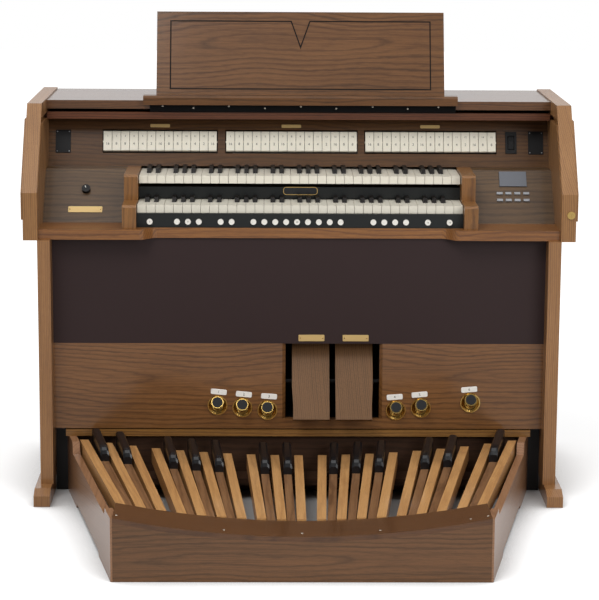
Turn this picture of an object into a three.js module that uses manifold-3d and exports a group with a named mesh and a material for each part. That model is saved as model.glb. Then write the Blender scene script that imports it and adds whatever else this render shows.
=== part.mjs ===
// Two-manual console organ with a concave, radiating pedalboard.
// Millimetres. X runs to the player's right, Y away from the player, Z up.
import * as THREE from "three";
import { mergeVertices } from "three/addons/utils/BufferGeometryUtils.js";
import Module from "manifold-3d";

const wasm = await Module();
wasm.setup();

// Carcass: feet, side panels, cheeks and boards
const PANEL_THICKNESS = 16;
const FOOT_REACH = 75;
const FOOT_INSET = 3;
const FOOT_WIDTH = 42;
const FOOT_HEIGHT = 41;
const FOOT_NOSE_HEIGHT = 28;
const FOOT_NOSE_DEPTH = 32;
const SIDE_FRONT = 70;
const SIDE_INNER = 642;
const SIDE_THICKNESS = 33;
const CASE_BACK = 680;
const CHEEK_OVERHANG = 31;
const CHEEK_THICKNESS = 38;
const CHEEK_UPRIGHT = 123;
const CHEEK_SLOPE_DEPTH = 158;
const CHEEK_RISE = 3.9;
const PLATE_THICKNESS = 4.8;
const PLATE_RISE = 53;
const PLATE_DROP = 38;
const PLATE_SETBACK = 5;
const TABLE_BOTTOM = 687;
const TABLE_THICKNESS = 26.5;
const TABLE_SETBACK = 16;
const TABLE_BACK_GAP = 80;
const TABLE_RECESS = 34;
const RECESS_HALF_WIDTH = 369;
const RECESS_CURVE_WIDTH = 45;
const TOP_SLOT = 8.8;
const TOP_THICKNESS = 22.6;
const TOP_OVERHANG = 18;
const BACK_BOTTOM = 20;

// Front panels below the keys
const PANEL_SETBACK = 55;
const KICK_BOTTOM = 178;
const KICK_HEIGHT = 229;
const BASE_SETBACK = 40;
const BASE_RAIL_HEIGHT = 12;

// Swell shoes and their box
const SHOE_OPENING_CENTRE = 88.5;
const SHOE_OPENING_WIDTH = 247;
const SHOE_OPENING_RISE = 27;
const SHOE_OPENING_BEVEL = 8;
const SHOE_BOX_WALL = 8;
const SHOE_BOX_DEPTH = 197;
const SHOE_BOX_RISE = 73;
const SHOE_LEAN = THREE.MathUtils.degToRad(60);
const SHOE_PROUD = 55;
const SHOE_CLEARANCE = 11;
const SHOE_LENGTH = 250;
const SHOE_THICKNESS = 12;
const SHOE_GAP = 16;
const SHOE_WIDTH = 98;
const SHOE_TAPER = 3;
const SHOE_TAPER_START = 42;
const SHOE_TAPER_LENGTH = 52;
const SHOE_AXLE_UP = 113;
const SHOE_AXLE_BEHIND = 25;
const SHOE_AXLE_RADIUS = 6;
const SHOE_HUB_RADIUS = 13;
const SHOE_HUB_INSET = 18;

// Toe studs: centres on the kick panel as [x, height above its lower edge]
const LEFT_STUD_PLACES = [
  [-213, 63],
  [-148, 57],
  [-82, 50],
];
const RIGHT_STUD_PLACES = [
  [256, 50],
  [322, 57],
  [452, 71],
];
const STUD_TILT = THREE.MathUtils.degToRad(30);
const STUD_RADIUS = 16.5;
const STUD_PAD_RADIUS = 13.5;
const STUD_PAD_HEIGHT = 1.6;
const STUD_REACH = 26;
const STUD_DEPTH = 44;
const STUD_STEM_RADIUS = 8;
const STUD_RAIL_RADIUS = 4;
const STUD_CLEARANCE = 0.8;
const COLLAR_RADIUS = 26.5;
const COLLAR_HEIGHT = 3.6;
const COLLAR_DISH_RADIUS = 23.5;
const COLLAR_SLEEVE_RADIUS = 20.5;
const COLLAR_PLATE_THICKNESS = 3;
const COLLAR_PLATE_MARGIN = 26;
const COLLAR_CUT_MARGIN = 53;

// Manuals
const MANUAL_CENTRE = 1.5;
const KEY_PITCH = 23.5;
const NATURAL_COUNT = 36;
const KEY_GAP = 1;
const KEY_HEIGHT = 20.3;
const KEY_REACH = 300;
const KEY_TAIL = 4;
const KEY_HEAD = 50;
const LOWER_KEY_SETBACK = 70;
const LOWER_KEY_RISE = 56.5;
const MANUAL_STEP_DEPTH = 95;
const MANUAL_STEP_HEIGHT = 64;
const SHARP_WIDTH = 10.6;
const SHARP_CLEARANCE = 1.1;
const SHARP_RISE = 12;
const SHARP_NOSE = 6;
const LOWER_SHARP_LENGTH = 53;
const UPPER_SHARP_LENGTH = 88;
const SHARP_STICK_HEIGHT = 9;
const KEY_RAIL_DEPTH = 14;
const KEY_RAIL_HEIGHT = 7;
const SHARP_RAIL_DEPTH = 8;
const KEY_RAIL_GAP = 2;
const FRAME_PLATE = 10;
const FRAME_GAP = 0.4;
const FRAME_STOP_DEPTH = 12;
const KEY_BED_CLEARANCE = 16;
const BLOCK_CLEARANCE = 1;
const BLOCK_WIDTH = 36;
const BLOCK_REACH = 40;
const BLOCK_RISE = 4;
const BLOCK_FRONT_RADIUS = 6;

// Key slips and the row of pistons
const LOWER_SLIP_REACH = 15;
const LOWER_SLIP_DROP = 20;
const UPPER_SLIP_SETBACK = 12;
const UPPER_SLIP_GAP = 3;
const UPPER_SLIP_DROP = 31;
const SLIP_THICKNESS = 8;
const PISTON_RISE = 15.5;
const PISTON_RADIUS = 7.6;
const PISTON_PROUD = 5;
const PISTON_CLEARANCE = 0.5;
const PISTON_BAR_GAP = 1;
const PISTON_BAR_THICKNESS = 2;
const PISTON_BAR_HEIGHT = 10;
const PISTON_ORIGIN = -6.6;
const PISTON_STEP = 14.13;
const PISTON_STEP_SHARES = [
  -27, -22, -20, -18, -14, -12, -8, -6, -4, -2, 0, 2, 4, 6, 8, 14, 16, 18, 20, 24, 28,
];

// Sloping control panels beside the keys
const SHELF_RISE = 7.3;
const CONTROL_SETBACK = 65;
const CONTROL_ANGLE = THREE.MathUtils.degToRad(50);
const CONTROL_THICKNESS = 12;
const SWITCH_SHARE = 0.513;
const SWITCH_UP = 100;
const SWITCH_RADIUS = 11.2;
const SWITCH_PROUD = 11;
const SHAFT_RADIUS = 3;
const SHAFT_CLEARANCE = 0.4;
const SHAFT_DEPTH = 10;
const SEAT_GAP = 0.3;
const DISPLAY_SHARE = 0.508;
const DISPLAY_UP = 138;
const DISPLAY_WIDTH = 72;
const DISPLAY_HEIGHT = 46;
const DISPLAY_PROUD = 3;
const DISPLAY_DEPTH = 5;
const BUTTON_OFFSETS = [-37, -14, 9.7, 33.4];
const BUTTON_ROWS = [72, 93];
const BUTTON_WIDTH = 15.5;
const BUTTON_HEIGHT = 6.8;
const BUTTON_PROUD = 3.5;
const BUTTON_CLEARANCE = 0.6;
const BUTTON_BAR_GAP = 2.5;
const BUTTON_BAR_THICKNESS = 3;
const BUTTON_BAR_MARGIN = 10;

// Stop panel and its rocking tabs
const STOP_SETBACK = 140;
const STOP_ANGLE = THREE.MathUtils.degToRad(70);
const STOP_RISE = 124.7;
const STOP_THICKNESS = 12;
const TAB_UP = 68;
const TAB_LENGTH = 55;
const TAB_WIDTH = 22.2;
const TAB_PITCH = 23.5;
const TAB_PROUD = 5;
const TAB_DEPTH = 8;
const TAB_EDGE = 2;
const TAB_PIVOT_DEPTH = 6;
const TAB_ROD_RADIUS = 2.6;
const TAB_ROD_REACH = 7;
const TAB_ROD_CLEARANCE = 0.3;
const TAB_WINDOW_MARGIN = 2;
const TAB_WINDOW_ROOM = 5;
const LEFT_TABS_START = -525.5;
const LEFT_TAB_COUNT = 13;
const MIDDLE_TABS_START = -195.3;
const MIDDLE_TAB_COUNT = 15;
const RIGHT_TABS_START = 179.5;
const RIGHT_TAB_COUNT = 15;
const ROCKER_GAP = 41;
const ROCKER_UP = 67;
const SWITCH_PLATE_WIDTH = 30;
const SWITCH_PLATE_LENGTH = 60;
const SWITCH_PLATE_THICKNESS = 3;
const ROCKER_WIDTH = 15;
const ROCKER_LENGTH = 36;
const ROCKER_RADIUS = 30;
const ROCKER_PROUD = 6;
const ROCKER_CLEARANCE = 1.5;
const ROCKER_SLOT = 3;
const ROCKER_SLOT_DEPTH = 2.5;

// Roll lid and the grooves it runs in
const GROOVE_RISE = 13;
const GROOVE_WIDTH = 16;
const GROOVE_DEPTH = 10;
const GROOVE_BACK_GAP = 20;
const GROOVE_BEND_DEPTH = 145;
const GROOVE_SETBACK = 20;
const GROOVE_FOOT = 73;
const LID_BAR_DEPTH = 18;
const LID_BAR_HEIGHT = 18.4;
const LID_BAR_CLEARANCE = 1;
const LID_THICKNESS = 10;
const LID_BACK_GAP = 30;
const LID_END_CLEARANCE = 1;
const SLAT_PITCH = 25;
const SLAT_GROOVE = 3;
const LOCK_RISE = 70;
const LOCK_INSET = 24;
const LOCK_RADIUS = 10.4;
const LOCK_PROUD = 3.4;
const LOCK_BARREL_RADIUS = 7;
const LOCK_BARREL_DEPTH = 18;
const LOCK_SLOT_WIDTH = 1.8;
const LOCK_SLOT_LENGTH = 9;
const LOCK_SLOT_DEPTH = 1.6;

// Music desk, its ledge, hinge and prop
const DESK_CENTRE = 4;
const LEDGE_WIDTH = 837;
const LEDGE_REACH = 22;
const LEDGE_DROP = 9.9;
const LEDGE_RISE = 14.4;
const LEDGE_DEPTH = 37;
const LEDGE_NOSE = 5;
const DESK_WIDTH = 769;
const DESK_SETBACK = 25;
const DESK_LENGTH = 230;
const DESK_THICKNESS = 16;
const DESK_ANGLE = THREE.MathUtils.degToRad(70);
const HINGE_PLAY = 0.8;
const PROP_FOOT_GAP = 0.4;
const HINGE_RADIUS = 4;
const HINGE_FOOT_DEPTH = 14;
const HINGE_FOOT_HEIGHT = 4;
const PROP_LENGTH = 100;
const PROP_WIDTH = 320;
const PROP_THICKNESS = 6;
const PROP_RADIUS = 10;
const DESK_INLAY_MARGIN = 37;
const DESK_INLAY_RISE = 17;
const DESK_INLAY_DROP = 26;
const DESK_NOTCH_WIDTH = 25;
const DESK_NOTCH_DEPTH = 72;
const DESK_INLAY_WIDTH = 1.6;
const DESK_INLAY_DEPTH = 1;
const STRIP_CENTRE = 10.5;
const STRIP_WIDTH = 817;
const STRIP_DROP = 29.6;
const STRIP_HEIGHT = 17;
const STRIP_THICKNESS = 3;

// Back panel, speakers, electronics and mains socket
const SPEAKER_X = 330;
const SPEAKER_HEIGHT = 330;
const SPEAKER_RADIUS = 60;
const SPEAKER_RIM = 12;
const SPEAKER_RIM_DEPTH = 6;
const SPEAKER_CONE_DEPTH = 34;
const SPEAKER_NECK_RADIUS = 24;
const SPEAKER_MAGNET_RADIUS = 38;
const SPEAKER_MAGNET_DEPTH = 22;
const MODULE_HALF_WIDTH = 180;
const MODULE_RISE = 36.5;
const MODULE_HEIGHT = 150;
const MODULE_DEPTH = 58;
const INLET_X = -450;
const INLET_HEIGHT = 120;
const INLET_WIDTH = 50;
const INLET_RISE = 30;
const INLET_DEPTH = 28;
const INLET_POCKET_DEPTH = 14;
const INLET_WALL = 5;
const INLET_PIN = 3;
const INLET_CLEARANCE = 0.5;

// Pedalboard
const PEDALBOARD_LENGTH = 795.7;
const HEEL_HALF_WIDTH = 440;
const HEEL_LEVEL = 109;
const HEEL_RISE = 44;
const HEEL_THICKNESS = 20;
const HEEL_CAP_DEPTH = 131;
const HEEL_CAP_THICKNESS = 12;
const HEEL_SIDE_REVEAL = 5;
const PEDALBOARD_CLEARANCE = 30;
const PEDALBOARD_BACK_GAP = 0.3;
const PEDAL_CHEEK_THICKNESS = 19;
const PEDAL_SCOOP_FROM_HEEL = 88;
const PEDAL_SCOOP_FROM_TOE = 103;
const PEDAL_SCOOP_ROUND = 18;
const PEDAL_SCOOP_DROP_HEEL = 18;
const PEDAL_SCOOP_DROP_TOE = 26;
const PEDAL_SCOOP_RAMP = 12;
const PEDAL_CHEEK_LIFT = 12;
const LIFT_FROM_HEEL = 201;
const LIFT_FROM_TOE = 174.7;
const TOE_BOARD_INSET = 26.7;
const TOE_BOARD_THICKNESS = 20;
const TOE_BOARD_BOTTOM = 10;
const TOE_COVER_HEADROOM = 3;
const TOE_COVER_THICKNESS = 17;
const TOE_COVER_REACH = 18;
const TOE_REST_DEPTH = 76;
const PEDAL_TRAVEL_ROOM = 17;
const TOE_REST_THICKNESS = 18;
const PEDAL_COUNT = 19;
const PEDAL_WIDTH = 22.5;
const PEDAL_CAP_GAP = 2;
const PEDAL_TOE_GAP = 42;
const PEDAL_HEEL_MARGIN = 14.3;
const PEDAL_TOE_MARGIN = 49.8;
const PEDAL_PROUD = 4;
const PEDAL_HEIGHT = 38;
const PEDAL_RISE_HEEL = 31;
const PEDAL_RISE_TOE = 41;
const PEDAL_HEEL_GAP = 5;
const PEDAL_TONGUE_HEIGHT = 12;
const PEDAL_TONGUE_DROP = 20;
const PEDAL_RAIL_DEPTH = 12;
const PEDAL_RAIL_HEIGHT = 10;
const PEDAL_RAIL_GAP = 4;
const PEDAL_SHARP_DROP = 10;
const PEDAL_SHARP_HEIGHT = 26;
const PEDAL_SHARP_HEEL_LENGTH = 60;
const PEDAL_SHARP_TOLERANCE = 2;
const PEDAL_CAP_LENGTH = 156;
const PEDAL_CAP_RISE_FRONT = 26;
const PEDAL_CAP_RISE_BACK = 35;
const PEDAL_CAP_NOSE = 30;
const PEDAL_CAP_CHAMFER = 5;
const PEDAL_SHARP_WIDTH = 22;
const HEEL_BED_HEIGHT = 8;
const PEDAL_BEARER_GAP = 1.1;

// Round pieces and working ratios
const ROUND_SIDES = 24;
const SMALL_SIDES = 12;
const CURVE_SHARES = [
  [0, 0], [0.1, 0.03], [0.25, 0.13], [0.4, 0.34], [0.6, 0.66], [0.75, 0.87], [0.9, 0.97], [1, 1],
];
const HALF_SHARE = 0.5;
const PEDAL_CAP_SHARES = [
  [0, 0.35], [0.12, 0.7], [0.35, 0.93], [0.7, 1.05], [1, 1.1],
];
const SCOOP_ROUND_SHARES = [
  [1, 1], [0.5, 0.9], [0.15, 0.6], [0, 0],
];
const HEEL_CURVE_SHARES = [-1, -0.8, -0.6, -0.4, -0.2, 0, 0.2, 0.4, 0.6, 0.8, 1];
const SHARPS_AFTER_SHARES = [0, 1, 3, 4, 5];
const OCTAVE_NATURALS = 7;
const WALNUT = { color: 0x6b4a35, roughness: 0.45, metalness: 0 };
const OAK = { color: 0xb08050, roughness: 0.5, metalness: 0 };
const DARK_OAK = { color: 0x5b3c28, roughness: 0.5, metalness: 0 };
const BLACK = { color: 0x1c1c1e, roughness: 0.4, metalness: 0 };
const IVORY = { color: 0xe8e2d3, roughness: 0.35, metalness: 0 };
const EBONY = { color: 0x2f2a29, roughness: 0.3, metalness: 0 };
const AUBERGINE = { color: 0x35282a, roughness: 0.7, metalness: 0 };
const BRASS = { color: 0xc9a860, roughness: 0.25, metalness: 1 };
const STEEL = { color: 0xa8abb0, roughness: 0.35, metalness: 1 };
const GREY = { color: 0x7f8288, roughness: 0.3, metalness: 0 };

// Places worked out from the sizes above: widths
const CASE_INNER = SIDE_INNER + CHEEK_OVERHANG;
const FOOT_INNER = SIDE_INNER + FOOT_INSET;
const SHOE_OPENING_LEFT = SHOE_OPENING_CENTRE - SHOE_OPENING_WIDTH * HALF_SHARE;
const SHOE_OPENING_RIGHT = SHOE_OPENING_LEFT + SHOE_OPENING_WIDTH;
const LEFT_SHOE_X = SHOE_OPENING_CENTRE - SHOE_GAP * HALF_SHARE - SHOE_WIDTH;
const RIGHT_SHOE_X = SHOE_OPENING_CENTRE + SHOE_GAP * HALF_SHARE;
const KEY_SPAN = KEY_PITCH * NATURAL_COUNT;
const KEYS_LEFT = MANUAL_CENTRE - KEY_SPAN * HALF_SHARE;
const BLOCK_INNER_LEFT = KEYS_LEFT - BLOCK_CLEARANCE;
const BLOCK_INNER_RIGHT = KEYS_LEFT + KEY_SPAN + BLOCK_CLEARANCE;
const BLOCK_OUTER_LEFT = BLOCK_INNER_LEFT - BLOCK_WIDTH;
const BLOCK_OUTER_RIGHT = BLOCK_INNER_RIGHT + BLOCK_WIDTH;
const SWITCH_X = -CASE_INNER + (BLOCK_OUTER_LEFT + CASE_INNER) * SWITCH_SHARE;
const DISPLAY_X = BLOCK_OUTER_RIGHT + (CASE_INNER - BLOCK_OUTER_RIGHT) * DISPLAY_SHARE;
const BUTTON_COLUMNS = BUTTON_OFFSETS.map((offset) => DISPLAY_X + offset);
const ROCKER_X = RIGHT_TABS_START + TAB_PITCH * RIGHT_TAB_COUNT + ROCKER_GAP;
const STRIP_LEFT = STRIP_CENTRE - STRIP_WIDTH * HALF_SHARE;
const STRIP_RIGHT = STRIP_LEFT + STRIP_WIDTH;
const PEDAL_SIDE_TOE = SIDE_INNER - PEDALBOARD_CLEARANCE;
const PEDAL_SIDE_HEEL = HEEL_HALF_WIDTH + HEEL_SIDE_REVEAL;

// Places worked out from the sizes above: levels
const TABLE_TOP = TABLE_BOTTOM + TABLE_THICKNESS;
const CHEEK_SEAM = TABLE_BOTTOM + CHEEK_UPRIGHT;
const PLATE_BOTTOM = TABLE_BOTTOM + PLATE_RISE;
const KICK_TOP = KICK_BOTTOM + KICK_HEIGHT;
const SHOE_OPENING_BOTTOM = KICK_BOTTOM + SHOE_OPENING_RISE;
const SHOE_BOX_TOP = KICK_TOP + SHOE_BOX_RISE;
const SHOE_BOTTOM = SHOE_OPENING_BOTTOM + SHOE_CLEARANCE;
const LOWER_KEY_TOP = TABLE_TOP + LOWER_KEY_RISE;
const UPPER_KEY_TOP = LOWER_KEY_TOP + MANUAL_STEP_HEIGHT;
const LOWER_BLOCK_TOP = LOWER_KEY_TOP + BLOCK_RISE;
const LOWER_SLIP_TOP = LOWER_KEY_TOP - LOWER_SLIP_DROP;
const UPPER_SLIP_BOTTOM = LOWER_KEY_TOP + UPPER_SLIP_GAP;
const UPPER_SLIP_TOP = UPPER_KEY_TOP - UPPER_SLIP_DROP;
const PISTON_HEIGHT = TABLE_TOP + PISTON_RISE;
const SHELF_LEVEL = UPPER_KEY_TOP + SHELF_RISE;
const STOP_TOP = SHELF_LEVEL + STOP_RISE;
const GROOVE_LEVEL = STOP_TOP + GROOVE_RISE;
const GROOVE_BOTTOM = TABLE_BOTTOM + GROOVE_FOOT;
const LOCK_HEIGHT = TABLE_BOTTOM + LOCK_RISE;
const TOP_BOTTOM = GROOVE_LEVEL + LID_BAR_HEIGHT * HALF_SHARE + TOP_SLOT;
const TOP_LEVEL = TOP_BOTTOM + TOP_THICKNESS;
const STRIP_BOTTOM = TOP_LEVEL - STRIP_DROP;
const STRIP_TOP = STRIP_BOTTOM + STRIP_HEIGHT;
const LEDGE_BOTTOM = TOP_LEVEL - LEDGE_DROP;
const LEDGE_TOP = TOP_LEVEL + LEDGE_RISE;
const HINGE_LEVEL = TOP_LEVEL + PROP_RADIUS + PROP_FOOT_GAP;
const MODULE_BOTTOM = TABLE_TOP + MODULE_RISE;
const PEDAL_SIDE_HEEL_HEIGHT = HEEL_LEVEL + HEEL_RISE;
const TOE_COVER_TOP = KICK_BOTTOM - TOE_COVER_HEADROOM;
const TOE_COVER_BOTTOM = TOE_COVER_TOP - TOE_COVER_THICKNESS;
const PEDAL_SIDE_TOE_HEIGHT = TOE_COVER_BOTTOM - SEAT_GAP;
const PEDAL_LEVEL = HEEL_LEVEL + PEDAL_PROUD;
const TOE_REST_TOP = PEDAL_LEVEL - PEDAL_HEIGHT - PEDAL_TRAVEL_ROOM;

// Places worked out from the sizes above: depths
const FOOT_FRONT = SIDE_FRONT - FOOT_REACH;
const CHEEK_TOP_FRONT = SIDE_FRONT + CHEEK_SLOPE_DEPTH;
const TABLE_FRONT = SIDE_FRONT + TABLE_SETBACK;
const TABLE_BACK = CASE_BACK - TABLE_BACK_GAP;
const PANEL_FRONT = SIDE_FRONT + PANEL_SETBACK;
const BASE_FRONT = PANEL_FRONT + BASE_SETBACK;
const SHOE_FRONT = PANEL_FRONT - SHOE_PROUD;
const SHOE_BOX_BACK = PANEL_FRONT + PANEL_THICKNESS + SHOE_BOX_DEPTH;
const LOWER_KEY_FRONT = SIDE_FRONT + LOWER_KEY_SETBACK;
const UPPER_KEY_FRONT = LOWER_KEY_FRONT + MANUAL_STEP_DEPTH;
const LOWER_BLOCK_FRONT = LOWER_KEY_FRONT - BLOCK_REACH;
const UPPER_BLOCK_FRONT = UPPER_KEY_FRONT - BLOCK_REACH;
const LOWER_SLIP_FRONT = LOWER_KEY_FRONT - LOWER_SLIP_REACH;
const UPPER_SLIP_FRONT = UPPER_KEY_FRONT + UPPER_SLIP_SETBACK;
const CONTROL_FRONT = LOWER_KEY_FRONT + CONTROL_SETBACK;
const STOP_FRONT = UPPER_KEY_FRONT + STOP_SETBACK;
const STOP_BACK = STOP_FRONT + STOP_THICKNESS / Math.sin(STOP_ANGLE);
const TOP_FRONT = STOP_FRONT - TOP_OVERHANG;
const GROOVE_BEND = SIDE_FRONT + GROOVE_BEND_DEPTH;
const GROOVE_BACK = CASE_BACK - GROOVE_BACK_GAP;
const LID_BACK = CASE_BACK - LID_BACK_GAP;
const LEDGE_FRONT = TOP_FRONT - LEDGE_REACH;
const LEDGE_BACK = LEDGE_FRONT + LEDGE_DEPTH;
const DESK_BOTTOM_FRONT = LEDGE_FRONT + DESK_SETBACK;
const DESK_BOTTOM_LEVEL = LEDGE_TOP + SEAT_GAP;
const HINGE_BEHIND =
  DESK_BOTTOM_FRONT +
  (DESK_THICKNESS + PROP_RADIUS + HINGE_PLAY) / Math.sin(DESK_ANGLE) +
  (HINGE_LEVEL - DESK_BOTTOM_LEVEL) / Math.tan(DESK_ANGLE);
const PEDAL_SIDE_BACK = BASE_FRONT - PEDALBOARD_BACK_GAP;
const HEEL_FRONT = PEDAL_SIDE_BACK - PEDALBOARD_LENGTH;
const PEDAL_CHEEK_LIFT_FRONT = HEEL_FRONT + LIFT_FROM_HEEL;
const PEDAL_CHEEK_LIFT_BACK = PEDAL_SIDE_BACK - LIFT_FROM_TOE;
const TOE_BOARD_FRONT = PEDAL_SIDE_BACK - TOE_BOARD_INSET;
const PEDAL_FRONT = HEEL_FRONT + HEEL_CAP_DEPTH + PEDAL_CAP_GAP;
const PEDAL_BACK = TOE_BOARD_FRONT - PEDAL_TOE_GAP;
const PEDAL_TONGUE_BACK = HEEL_FRONT + HEEL_THICKNESS + PEDAL_HEEL_GAP;
const PEDAL_CAP_FRONT = PEDAL_BACK - PEDAL_CAP_LENGTH;

// Directions and the group that holds every piece
const ALONG_X = new THREE.Vector3(1, 0, 0);
const ALONG_Y = new THREE.Vector3(0, 1, 0);
const ALONG_Z = new THREE.Vector3(0, 0, 1);
const AGAINST_Y = new THREE.Vector3(0, -1, 0);
const organ = new THREE.Group();

// Any closed three.js geometry as a solid
function solidOf(geometry) {
  geometry.deleteAttribute("normal");
  geometry.deleteAttribute("uv");
  const merged = mergeVertices(geometry);
  const positions = merged.attributes.position;
  return new wasm.Manifold(
    new wasm.Mesh({
      numProp: positions.itemSize,
      vertProperties: positions.array,
      triVerts: new Uint32Array(merged.index.array),
    }),
  );
}

// A box between two corners
function block(x0, x1, y0, y1, z0, z1) {
  const geometry = new THREE.BoxGeometry(x1 - x0, y1 - y0, z1 - z0);
  geometry.translate((x0 + x1) * HALF_SHARE, (y0 + y1) * HALF_SHARE, (z0 + z1) * HALF_SHARE);
  return solidOf(geometry);
}

// An outline pulled to a depth
function pulled(outline, depth, matrix) {
  const shape = new THREE.Shape(outline.map(([a, b]) => new THREE.Vector2(a, b)));
  const geometry = new THREE.ExtrudeGeometry(shape, { depth, bevelEnabled: false });
  geometry.applyMatrix4(matrix);
  return solidOf(geometry);
}

// Outlines seen from the side [y, z], from above [x, y] and from the front [x, z]
function fromSide(outline, x0, x1) {
  const matrix = new THREE.Matrix4().makeBasis(ALONG_Y, ALONG_Z, ALONG_X);
  return pulled(outline, x1 - x0, matrix.setPosition(x0, 0, 0));
}

function fromAbove(outline, z0, z1) {
  const matrix = new THREE.Matrix4().makeBasis(ALONG_X, ALONG_Y, ALONG_Z);
  return pulled(outline, z1 - z0, matrix.setPosition(0, 0, z0));
}

function fromFront(outline, y0, y1) {
  const matrix = new THREE.Matrix4().makeBasis(ALONG_X, ALONG_Z, AGAINST_Y);
  return pulled(outline, y1 - y0, matrix.setPosition(0, y1, 0));
}

// A round bar, straight or tapering, between two points
function taper(from, to, startRadius, endRadius, sides) {
  const run = new THREE.Vector3(...to).sub(new THREE.Vector3(...from));
  const length = run.length();
  const geometry = new THREE.CylinderGeometry(endRadius, startRadius, length, sides);
  geometry.translate(0, length * HALF_SHARE, 0);
  geometry.applyQuaternion(
    new THREE.Quaternion().setFromUnitVectors(ALONG_Y, run.normalize()),
  );
  geometry.translate(...from);
  return solidOf(geometry);
}

function rod(from, to, radius, sides = ROUND_SIDES) {
  return taper(from, to, radius, radius, sides);
}

// A sloping surface: X stays, Y runs up the slope, Z stands out of it
function slope(y, z, angle) {
  const up = new THREE.Vector3(0, Math.cos(angle), Math.sin(angle));
  const out = new THREE.Vector3().crossVectors(ALONG_X, up);
  return new THREE.Matrix4().makeBasis(ALONG_X, up, out).setPosition(0, y, z);
}

function placed(solid, matrix) {
  return solid.transform(matrix.elements);
}

function joined(solids) {
  return wasm.Manifold.union(solids);
}

function cut(solid, cutters) {
  return solid.subtract(joined(cutters));
}

function squared(share) {
  return share * share;
}

function mirrored(outline) {
  return outline.map(([x, other]) => [-x, other]);
}

// A named piece with its own material
function add(name, solid, finish) {
  const mesh = solid.getMesh();
  const geometry = new THREE.BufferGeometry();
  geometry.setAttribute("position", new THREE.BufferAttribute(mesh.vertProperties, mesh.numProp));
  geometry.setIndex(new THREE.BufferAttribute(mesh.triVerts, 1));
  geometry.computeVertexNormals();
  const piece = new THREE.Mesh(geometry, new THREE.MeshStandardMaterial(finish));
  piece.name = name;
  organ.add(piece);
}

// The two ends of the console: feet, side panels and cheeks with the lid grooves
const CASE_TOP = TOP_LEVEL + CHEEK_RISE;
const SIDE_OUTER = SIDE_INNER + SIDE_THICKNESS;
const CHEEK_OUTER = CASE_INNER + CHEEK_THICKNESS;
const CHEEK_RUN = CHEEK_TOP_FRONT - SIDE_FRONT;
const CHEEK_PITCH = CHEEK_RUN / (CASE_TOP - CHEEK_SEAM);

function cheekEdge(z) {
  return SIDE_FRONT + Math.max(0, z - CHEEK_SEAM) * CHEEK_PITCH;
}

const cheekOutline = [
  [SIDE_FRONT, TABLE_BOTTOM],
  [CASE_BACK, TABLE_BOTTOM],
  [CASE_BACK, CASE_TOP],
  [CHEEK_TOP_FRONT, CASE_TOP],
  [SIDE_FRONT, CHEEK_SEAM],
];
const plateTop = CASE_TOP - PLATE_DROP;
const plateOutline = [
  [SIDE_FRONT + PLATE_SETBACK, PLATE_BOTTOM],
  [CASE_BACK, PLATE_BOTTOM],
  [CASE_BACK, plateTop],
  [cheekEdge(plateTop) + PLATE_SETBACK, plateTop],
  [SIDE_FRONT + PLATE_SETBACK, CHEEK_SEAM],
];
const grooveLow = GROOVE_LEVEL - GROOVE_WIDTH * HALF_SHARE;
const grooveHigh = GROOVE_LEVEL + GROOVE_WIDTH * HALF_SHARE;
const grooveFront = SIDE_FRONT + GROOVE_SETBACK - GROOVE_WIDTH * HALF_SHARE;
const grooveRear = grooveFront + GROOVE_WIDTH;
const grooveOutline = [
  [GROOVE_BACK, grooveLow],
  [GROOVE_BACK, grooveHigh],
  [GROOVE_BEND - GROOVE_WIDTH * HALF_SHARE, grooveHigh],
  [grooveFront, CHEEK_SEAM],
  [grooveFront, GROOVE_BOTTOM],
  [grooveRear, GROOVE_BOTTOM],
  [grooveRear, CHEEK_SEAM],
  [GROOVE_BEND + GROOVE_WIDTH * HALF_SHARE, grooveLow],
];

const lockX = CHEEK_OUTER - LOCK_INSET + LOCK_RADIUS;
const lockHole = rod(
  [lockX, SIDE_FRONT - LOCK_PROUD, LOCK_HEIGHT],
  [lockX, SIDE_FRONT + LOCK_BARREL_DEPTH + SHAFT_CLEARANCE, LOCK_HEIGHT],
  LOCK_BARREL_RADIUS + SHAFT_CLEARANCE,
);

add(
  "left_cheek",
  cut(
    joined([
      fromSide(cheekOutline, -CHEEK_OUTER, -CASE_INNER),
      fromSide(plateOutline, -CHEEK_OUTER - PLATE_THICKNESS, -CHEEK_OUTER),
    ]),
    [fromSide(grooveOutline, -CASE_INNER - GROOVE_DEPTH, -CASE_INNER + GROOVE_DEPTH)],
  ),
  WALNUT,
);
add(
  "right_cheek",
  cut(
    joined([
      fromSide(cheekOutline, CASE_INNER, CHEEK_OUTER),
      fromSide(plateOutline, CHEEK_OUTER, CHEEK_OUTER + PLATE_THICKNESS),
    ]),
    [fromSide(grooveOutline, CASE_INNER - GROOVE_DEPTH, CASE_INNER + GROOVE_DEPTH), lockHole],
  ),
  WALNUT,
);
add(
  "left_side_panel",
  block(-SIDE_OUTER, -SIDE_INNER, SIDE_FRONT, CASE_BACK, FOOT_HEIGHT, TABLE_BOTTOM),
  WALNUT,
);
add(
  "right_side_panel",
  block(SIDE_INNER, SIDE_OUTER, SIDE_FRONT, CASE_BACK, FOOT_HEIGHT, TABLE_BOTTOM),
  WALNUT,
);
const footProfile = [
  [FOOT_FRONT, 0],
  [CASE_BACK, 0],
  [CASE_BACK, FOOT_HEIGHT],
  [FOOT_FRONT + FOOT_NOSE_DEPTH, FOOT_HEIGHT],
  [FOOT_FRONT, FOOT_NOSE_HEIGHT],
];
add("left_foot", fromSide(footProfile, -FOOT_INNER - FOOT_WIDTH, -FOOT_INNER), WALNUT);
add("right_foot", fromSide(footProfile, FOOT_INNER, FOOT_INNER + FOOT_WIDTH), WALNUT);

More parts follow.
